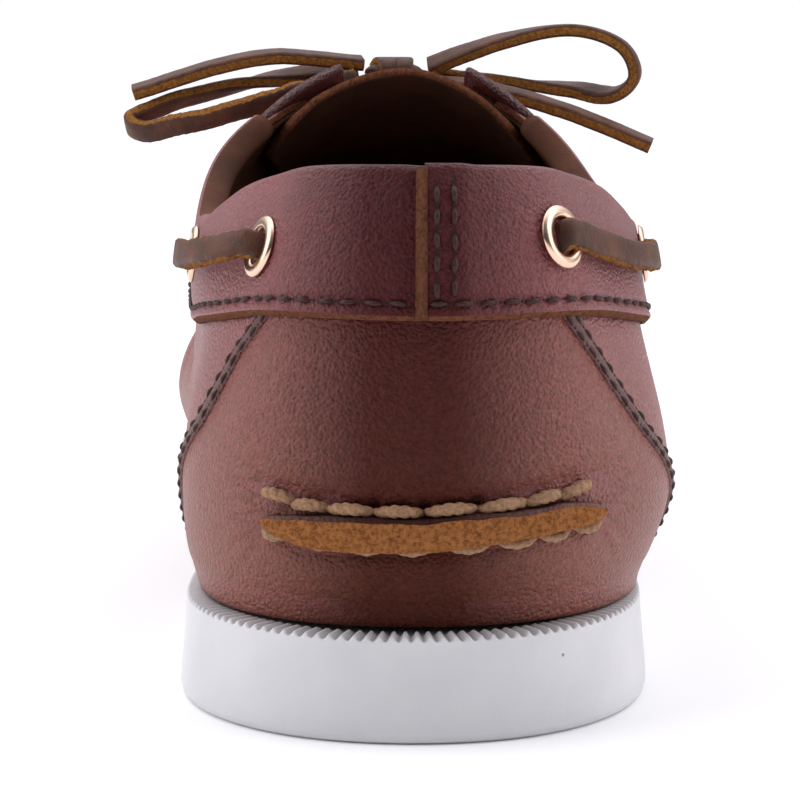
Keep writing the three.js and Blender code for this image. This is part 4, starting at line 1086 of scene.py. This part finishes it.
# ---- Collar band ------------------------------------------------------------
# A band of the same dyed leather sewn round the collar in two halves, folded over the top edge. The
# lateral half laps over the medial one at the heel. Below, its cut edge is raw brown; a row of dark
# stitches runs above the edge in its own groove, and two rows run down the lap.
band_leather = shoe_leather("burgundy_band_leather", "#602829", "#733536", "#76393a")
BAND_THICK, BAND_FRONT = 1.6, 106.0
LAP_MEDIAL, LAP_LATERAL = -6.5, 0.15          # arcs where each half ends at the back, mm
LINED_FROM = 72.0                             # forward of the heel's back, the fold shows the lining
LAP_LIFT = 1.0                                # how far the lap stands over the half below
FOLD_STEPS = 15                               # points round the folded top edge
LEG = (1.2, 3.0, 5.5, 8.0)                    # points down the inside, below the fold, mm


def above_foot(w, rise=0.0):
    """Level of the band's lower edge, or rise mm above it."""
    def below(v):
        p = last_point(w, v)
        return p[..., 2] < foot_z(HEEL_SEAT - p[..., 1]) + rise
    return find_level(below, w.shape, 0.5, 4)


def lap_lift(side, a):
    """How far each half is lifted or sunk near the lap at the back, and its slow wave."""
    lift = 0.10 * smooth(a, 12, 0) if side > 0 else LAP_LIFT * smooth(a, -9.5, -5.5)
    return lift + 0.12 * np.sin(a / 9.0)


def band_profile(w, lift):
    """The band's section at each place: outer skin and inner skin, both from the foot up the
    outside and over the top."""
    foot, top = above_foot(w), under_collar(w, 1.7)
    t = np.unique(np.concatenate([[0, 0.011, 0.022, 0.033], np.linspace(0.045, 1, 52)]))[None, :]
    v = foot + (top - foot) * t
    length = np.linalg.norm(last_point(w, top) - last_point(w, foot), axis=-1)
    d = t * length
    groove = -0.3 * np.exp(-((d - 2.4) / 0.6) ** 2) + 0.12 * np.exp(-((d - 0.9) / 0.8) ** 2)
    outer = on_last(w, v, GAP + BAND_THICK + lift + groove - 1.05 * np.clip(1 - d / 0.95, 0, 1) ** 1.4)
    inner = on_last(w, v, GAP + lift * 0.9)
    n = last_normal(w, top)
    up = unit(last_point(w, np.minimum(top + 0.03, 4)) - last_point(w, top - 0.03))
    ang = np.radians(np.linspace(12, 180, FOLD_STEPS))[None, :, None]
    centre = last_point(w, top) + n * (-0.55 + lift[..., None] / 2)
    half_wide = 2.45 + lift[..., None] / 2
    over = centre + n * half_wide * np.cos(ang) + up * 1.85 * np.sin(ang)
    over_in = centre + n * (half_wide - 1.5) * np.cos(ang) + up * 0.55 * np.sin(ang)
    down = up * np.array(LEG)[None, :, None]
    return (np.concatenate([outer, over, over[:, -1:] - down], 1),
            np.concatenate([inner, over_in, over_in[:, -1:] - down], 1))


end_w = row_at(BAND_FRONT)
for name, start_arc, side in (("medial", LAP_MEDIAL, 1), ("lateral", LAP_LATERAL, -1)):
    start = float(w_at_arc(start_arc))
    if side > 0:
        w = around(0.9, start - 2 * LAST, end_w)[:, None]
    else:
        # the lap's end lies past the heel's middle, so its place is a full turn on
        w = around(0.9, 2 * LAST - end_w, start + 2 * LAST)[::-1, None]
    a = heel_arc(w)
    # the under half dips in behind the lap
    outer, inner = band_profile(w, lap_lift(side, a) - (0.55 * smooth(a, 4.5, 0.0) if side > 0 else 0))
    if side < 0:
        outer, inner = outer[::-1], inner[::-1]
    band = sheet(f"collar_band_{name}", outer, inner, band_leather, raw_edge)
    # towards the throat the fold shows the brown lining instead of the dyed face
    band.data.materials.append(lining_skin)
    m = outer.shape[1]
    for face in band.data.polygons:
        column = face.index % (2 * m)
        if m - FOLD_STEPS - 2 <= column < m and face.center.y < (HEEL_SEAT - LINED_FROM) * MM:
            face.material_index = 2
        elif column < 3:
            face.material_index = 1
    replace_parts(band, "collar_band")

    # stitch row along the foot
    low = float(w_at_arc(2.0 if side > 0 else -0.6))
    w = around(0.8, low, end_w - 0.05) if side > 0 else around(0.8, 2 * LAST - end_w + 0.05, low)
    v = above_foot(w, 2.4)
    line = on_last(w, v, GAP + BAND_THICK + lap_lift(side, heel_arc(w)) - 0.02)
    made = stitches(f"band_stitches_{name}", line, last_normal(w, v), 3.7, 2.55, 0.66, dark_thread)

# the cut end of the lateral half, a raw bevel down the lap: mm round the heel, height over the band
BEVEL = ((1.75, -0.75), (1.4, -0.1), (0.95, 0.4), (0.5, 0.85), (0.1, 1.12), (-0.3, 1.1))
BEVEL_ROWS = 40
bevel_arc, bevel_out = np.array(BEVEL).T
z = np.linspace(60.9, 81.2, BEVEL_ROWS)[:, None]
w = w_at_arc(bevel_arc)[None, :]
v = level_at_z(w, z)
rough = np.array([[draw.uniform(-0.09, 0.09) for _ in BEVEL] for _ in range(BEVEL_ROWS)])
skin = GAP + BAND_THICK + bevel_out[None, :] + rough
lap_edge = cut_leather("lap_raw_edge", "#70442f", "#492a1d", 1300)
bevel = sheet("lap_cut_edge", on_last(w, v, skin)[:, ::-1], on_last(w, v, GAP + 0.6)[:, ::-1],
              lap_edge, lap_edge)
# two rows down the lap at the heel
for k, row_arc in enumerate((-1.6, -4.1)):
    z = np.linspace(63.6, 81.6, 40)
    w = w_at_arc(row_arc)
    v = level_at_z(w, z)
    line = on_last(w, v, GAP + BAND_THICK + LAP_LIFT + 0.02)
    made = stitches(f"lap_stitches_{k + 1}", line, last_normal(w, v), 3.4, 2.5, 0.8, dark_thread, first=0.45)

# ---- Tongue -----------------------------------------------------------------
# A tongue of soft brown suede leather under the throat, arched across the instep; its free top
# edge stands up behind the bow and closes the shoe's opening.
tongue_leather = lining_leather("brown_suede_tongue", "#3a2015", "#5b3a27", 0.85, 1000)
TONGUE_BACK, TONGUE_FRONT, TONGUE_HALF = 103.5, 176.0, 23.0     # its ends, its least half width, mm
TONGUE_FACE, TONGUE_UNDER = -2.6, -4.4                          # its two sides, from the last's outside
s_rows = np.linspace(TONGUE_BACK, TONGUE_FRONT, 60)
t = np.unique(np.round(np.concatenate([np.linspace(-1, 1, 61), [-0.99, 0.99]]), 5))[None, :]
w_mid = np.array([row_at(s) for s in s_rows])[:, None]
# wider towards its free end, with the corners there rounded off
half = TONGUE_HALF + 0.12 * np.clip(150 - s_rows, 0, None)
half = half * (1 - 0.045 * np.clip(112 - s_rows, 0, None))
w = np.where(t > 0, w_mid, 2 * LAST - w_mid)
v = level_at_reach(w, np.maximum(np.abs(t) * half[:, None], 0.02))
v = np.where(np.abs(t) < 0.01, 4.0, v)
lip = smooth(s_rows, 108, 103.5)[:, None]
sag = 0.35 * np.sin(s_rows / 6.0)[:, None] * (1 - t ** 2) - 0.6 * lip
face, under = on_last(w, v, TONGUE_FACE + sag), on_last(w, v, TONGUE_UNDER + sag + 0.5 * lip)
tongue = sheet("tongue", face[:, ::-1], under[:, ::-1], tongue_leather, raw_edge, back=lining_skin)
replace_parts(tongue, "tongue")

# ---- Eyestay ----------------------------------------------------------------
# A U-shaped piece of the dyed leather sewn on top round the throat, with the four front eyelets;
# a double row of stitches follows its outer edge.
EYESTAY_THICK = 1.2
STAY_BACK, STAY_ROUND, STAY_FRONT = 107.5, 156.0, 171.0     # back ends, start of its round end, front
STAY_ROW = 17.0                                             # its usual width, mm


def plan_place(x, s):
    """Place and level on the last under a point given sideways and forward of the heel's back."""
    ws = np.linspace(row_at(95), row_at(190), 400)
    w = np.interp(s, COLUMN["at"](ws), ws)
    aside = x - COLUMN["mid"](w)
    w = np.where(aside > 0, w, 2 * LAST - w)
    return w, level_at_reach(w, np.maximum(np.abs(aside), 0.01))


# both outlines run up the medial side, round the front and back down the lateral side
straight, bend = np.linspace(0, 1, 56), np.linspace(0, math.pi, 90)[1:-1]
turn_s = THROAT_END - THROAT_HALF
inner_x = np.concatenate([SLOT_MID + THROAT_HALF + 0 * straight, SLOT_MID + THROAT_HALF * np.cos(bend),
                          SLOT_MID - THROAT_HALF + 0 * straight])
inner_s = np.concatenate([STAY_BACK + (turn_s - STAY_BACK) * straight, turn_s + THROAT_HALF * np.sin(bend),
                          turn_s - (turn_s - STAY_BACK) * straight])
run_s = STAY_BACK + (STAY_ROUND - STAY_BACK) * straight
reach = 30.0 - 3.0 * smooth(run_s, 110, 165)
mid_x = np.interp(run_s, (100, 140, 178), (1.6, 1.0, 0.4))
blunt = np.sign(np.cos(bend)) * np.abs(np.cos(bend)) ** 0.75
outer_x = np.concatenate([mid_x + reach, mid_x[-1] + reach[-1] * blunt, (mid_x - reach)[::-1]])
outer_s = np.concatenate([run_s, STAY_ROUND + (STAY_FRONT - STAY_ROUND) * np.sin(bend) ** 0.6, run_s[::-1]])
t = across(22, STAY_ROW)[None, :]
wide_x, wide_s = inner_x - outer_x, inner_s - outer_s
w, v = plan_place(outer_x[:, None] + wide_x[:, None] * t, outer_s[:, None] + wide_s[:, None] * t)
skin = GAP + EYESTAY_THICK + 0.6 * rounding(t, STAY_ROW)
eyestay = sheet("eyestay", on_last(w, v, skin), on_last(w, v, 0.05), band_leather, strip_leather)
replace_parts(eyestay, "eyestay")
for k, inset in enumerate((1.8, 4.1)):
    part = inset / np.hypot(wide_x, wide_s)
    w, v = plan_place((outer_x + wide_x * part)[3:-3], (outer_s + wide_s * part)[3:-3])
    made = stitches(f"eyestay_stitches_{k + 1}", on_last(w, v, GAP + EYESTAY_THICK - 0.05), last_normal(w, v),
                    3.5, 2.5, 0.65, dark_thread, holes=False)

# ---- Eyelets ----------------------------------------------------------------
# Eight turned and rolled metal eyelets, warm champagne gilt, plain, with a bright rolled rim and a
# barrel through the leather.
gilt = material("champagne_gilt_metal", 0.24, None, Metallic=1.0, Base_Color=linear("#e2c0a8"))[0]
# the ring's section: distance from its axis, height over the leather
RING = ((2.75, -3.4), (2.75, 0.25), (2.84, 0.56), (3.05, 0.76), (3.4, 0.86), (3.9, 0.84), (4.3, 0.7),
        (4.6, 0.46), (4.75, 0.2), (4.7, 0.0), (3.35, -0.05), (3.3, -3.4))
eyelet_at = {}


def eyelet(name, w, v, lift):
    """One eyelet, its rim lift mm outside the last; its place and axis are kept for the lace."""
    n = last_normal(w, v)
    spot = last_point(w, v) + n * lift
    a = unit(np.cross(n, np.array((0.0, 0.0, 1.0))))
    b = np.cross(n, a)
    verts, m, k = [], 48, len(RING)
    for r, h in RING:
        for q in range(m):
            angle = 2 * math.pi * q / m
            verts.append(spot + n * h + r * (a * math.cos(angle) + b * math.sin(angle)))
    faces = [(i * m + q, ((i + 1) % k) * m + q, ((i + 1) % k) * m + (q + 1) % m, i * m + (q + 1) % m)
             for i in range(k) for q in range(m)]
    made = show(name, mesh_of(name, verts, faces), gilt)
    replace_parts(made, name)
    eyelet_at[name] = (spot, n)


# on the band by place round the shoe and height, on the eyestay by place along and across, mm
FACING_EYELETS = {"upper": (130, 19.5), "lower": (150, 18.5)}
for name, band_eyelets in (("medial", {"rear": (1.7, 69.5), "front": (3.92, 65.5)}),
                           ("lateral", {"rear": (1.2, 71.5), "front": (3.92, 65.5)})):
    for place_name, (q, z) in band_eyelets.items():
        w = 2 * LAST - q if name == "lateral" else q
        eyelet(f"eyelet_collar_{place_name}_{name}", w, level_at_z(w, z), GAP + BAND_THICK)
    for place_name, (s, aside) in FACING_EYELETS.items():
        w = 2 * LAST - row_at(s) if name == "lateral" else row_at(s)
        eyelet(f"eyelet_facing_{place_name}_{name}", w, level_at_reach(w, aside), GAP + EYESTAY_THICK)

# ---- Lace runs --------------------------------------------------------------
# The same flat lace, threaded through the eyelets: along the outside of the band on both sides, and
# as two bars over the throat. It dives into each eyelet and stops just inside.
INSIDE, BAR_INSIDE = 3.0, 2.6               # how far a lace goes in past its eyelet, mm


def threaded_lace(name, points, first, last, way, turning, fuzz):
    """A stretch of lace between two eyelets; its face looks along their axes, first and last, and
    turns as it dives in."""
    line = smooth_line(points, LACE_STEP)
    share = np.linspace(0, 1, len(line))[:, None]
    leaving, arriving = smooth(share, 0.02, turning), smooth(share, 0.98, 1 - turning)
    axis = first * (1 - share) + last * share
    side = axis * leaving * arriving - way * (1 - leaving) + way * (1 - arriving)
    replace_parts(flat_lace(name, line, side, fuzz=fuzz), name)


# along the band the run lies round the corner of the heel, a little loose on the medial side
for name, stand in (("medial", 3.2), ("lateral", 1.5)):
    (pa, na), (pb, nb) = eyelet_at[f"eyelet_collar_rear_{name}"], eyelet_at[f"eyelet_collar_front_{name}"]
    way = unit(pb - pa)
    w, z, loose = np.array(((2.15, 67.6, 0.95), (2.6, 66.4, 1.0), (3.1, 65.6, 0.9))).T
    w = w if name == "medial" else 2 * LAST - w
    over = on_last(w, level_at_z(w, z), GAP + BAND_THICK + LACE_THICK / 2 + stand * loose)
    rise = 1.2 + stand * 0.45
    points = [pa - na * INSIDE, pa + na * 0.4 + way * 0.2, pa + na * rise + way * 1.9, *over,
              pb + nb * rise - way * 1.9, pb + nb * 0.4 - way * 0.2, pb - nb * INSIDE]
    threaded_lace(f"lace_side_{name}", points, na, nb, way, 0.2, 0.26)
# the bars arch over the tongue, highest in the middle
for name, (s, _) in FACING_EYELETS.items():
    (pa, na), (pb, nb) = eyelet_at[f"eyelet_facing_{name}_medial"], eyelet_at[f"eyelet_facing_{name}_lateral"]
    way = unit(pb - pa)
    middle = (pa + pb) / 2
    middle[2] = last_point(row_at(s), 4.0)[2] + 2.6
    points = [pa - na * BAR_INSIDE, pa + na * 0.4 + way * 0.2, pa + na * 3.2 + way * 2.2,
              (pa + na * 4.4) * 0.62 + middle * 0.38, middle, (pb + nb * 4.4) * 0.62 + middle * 0.38,
              pb + nb * 3.2 - way * 2.2, pb + nb * 0.4 - way * 0.2, pb - nb * BAR_INSIDE]
    threaded_lace(f"lace_bar_{name}", points, na, nb, way, 0.18, 0.16)
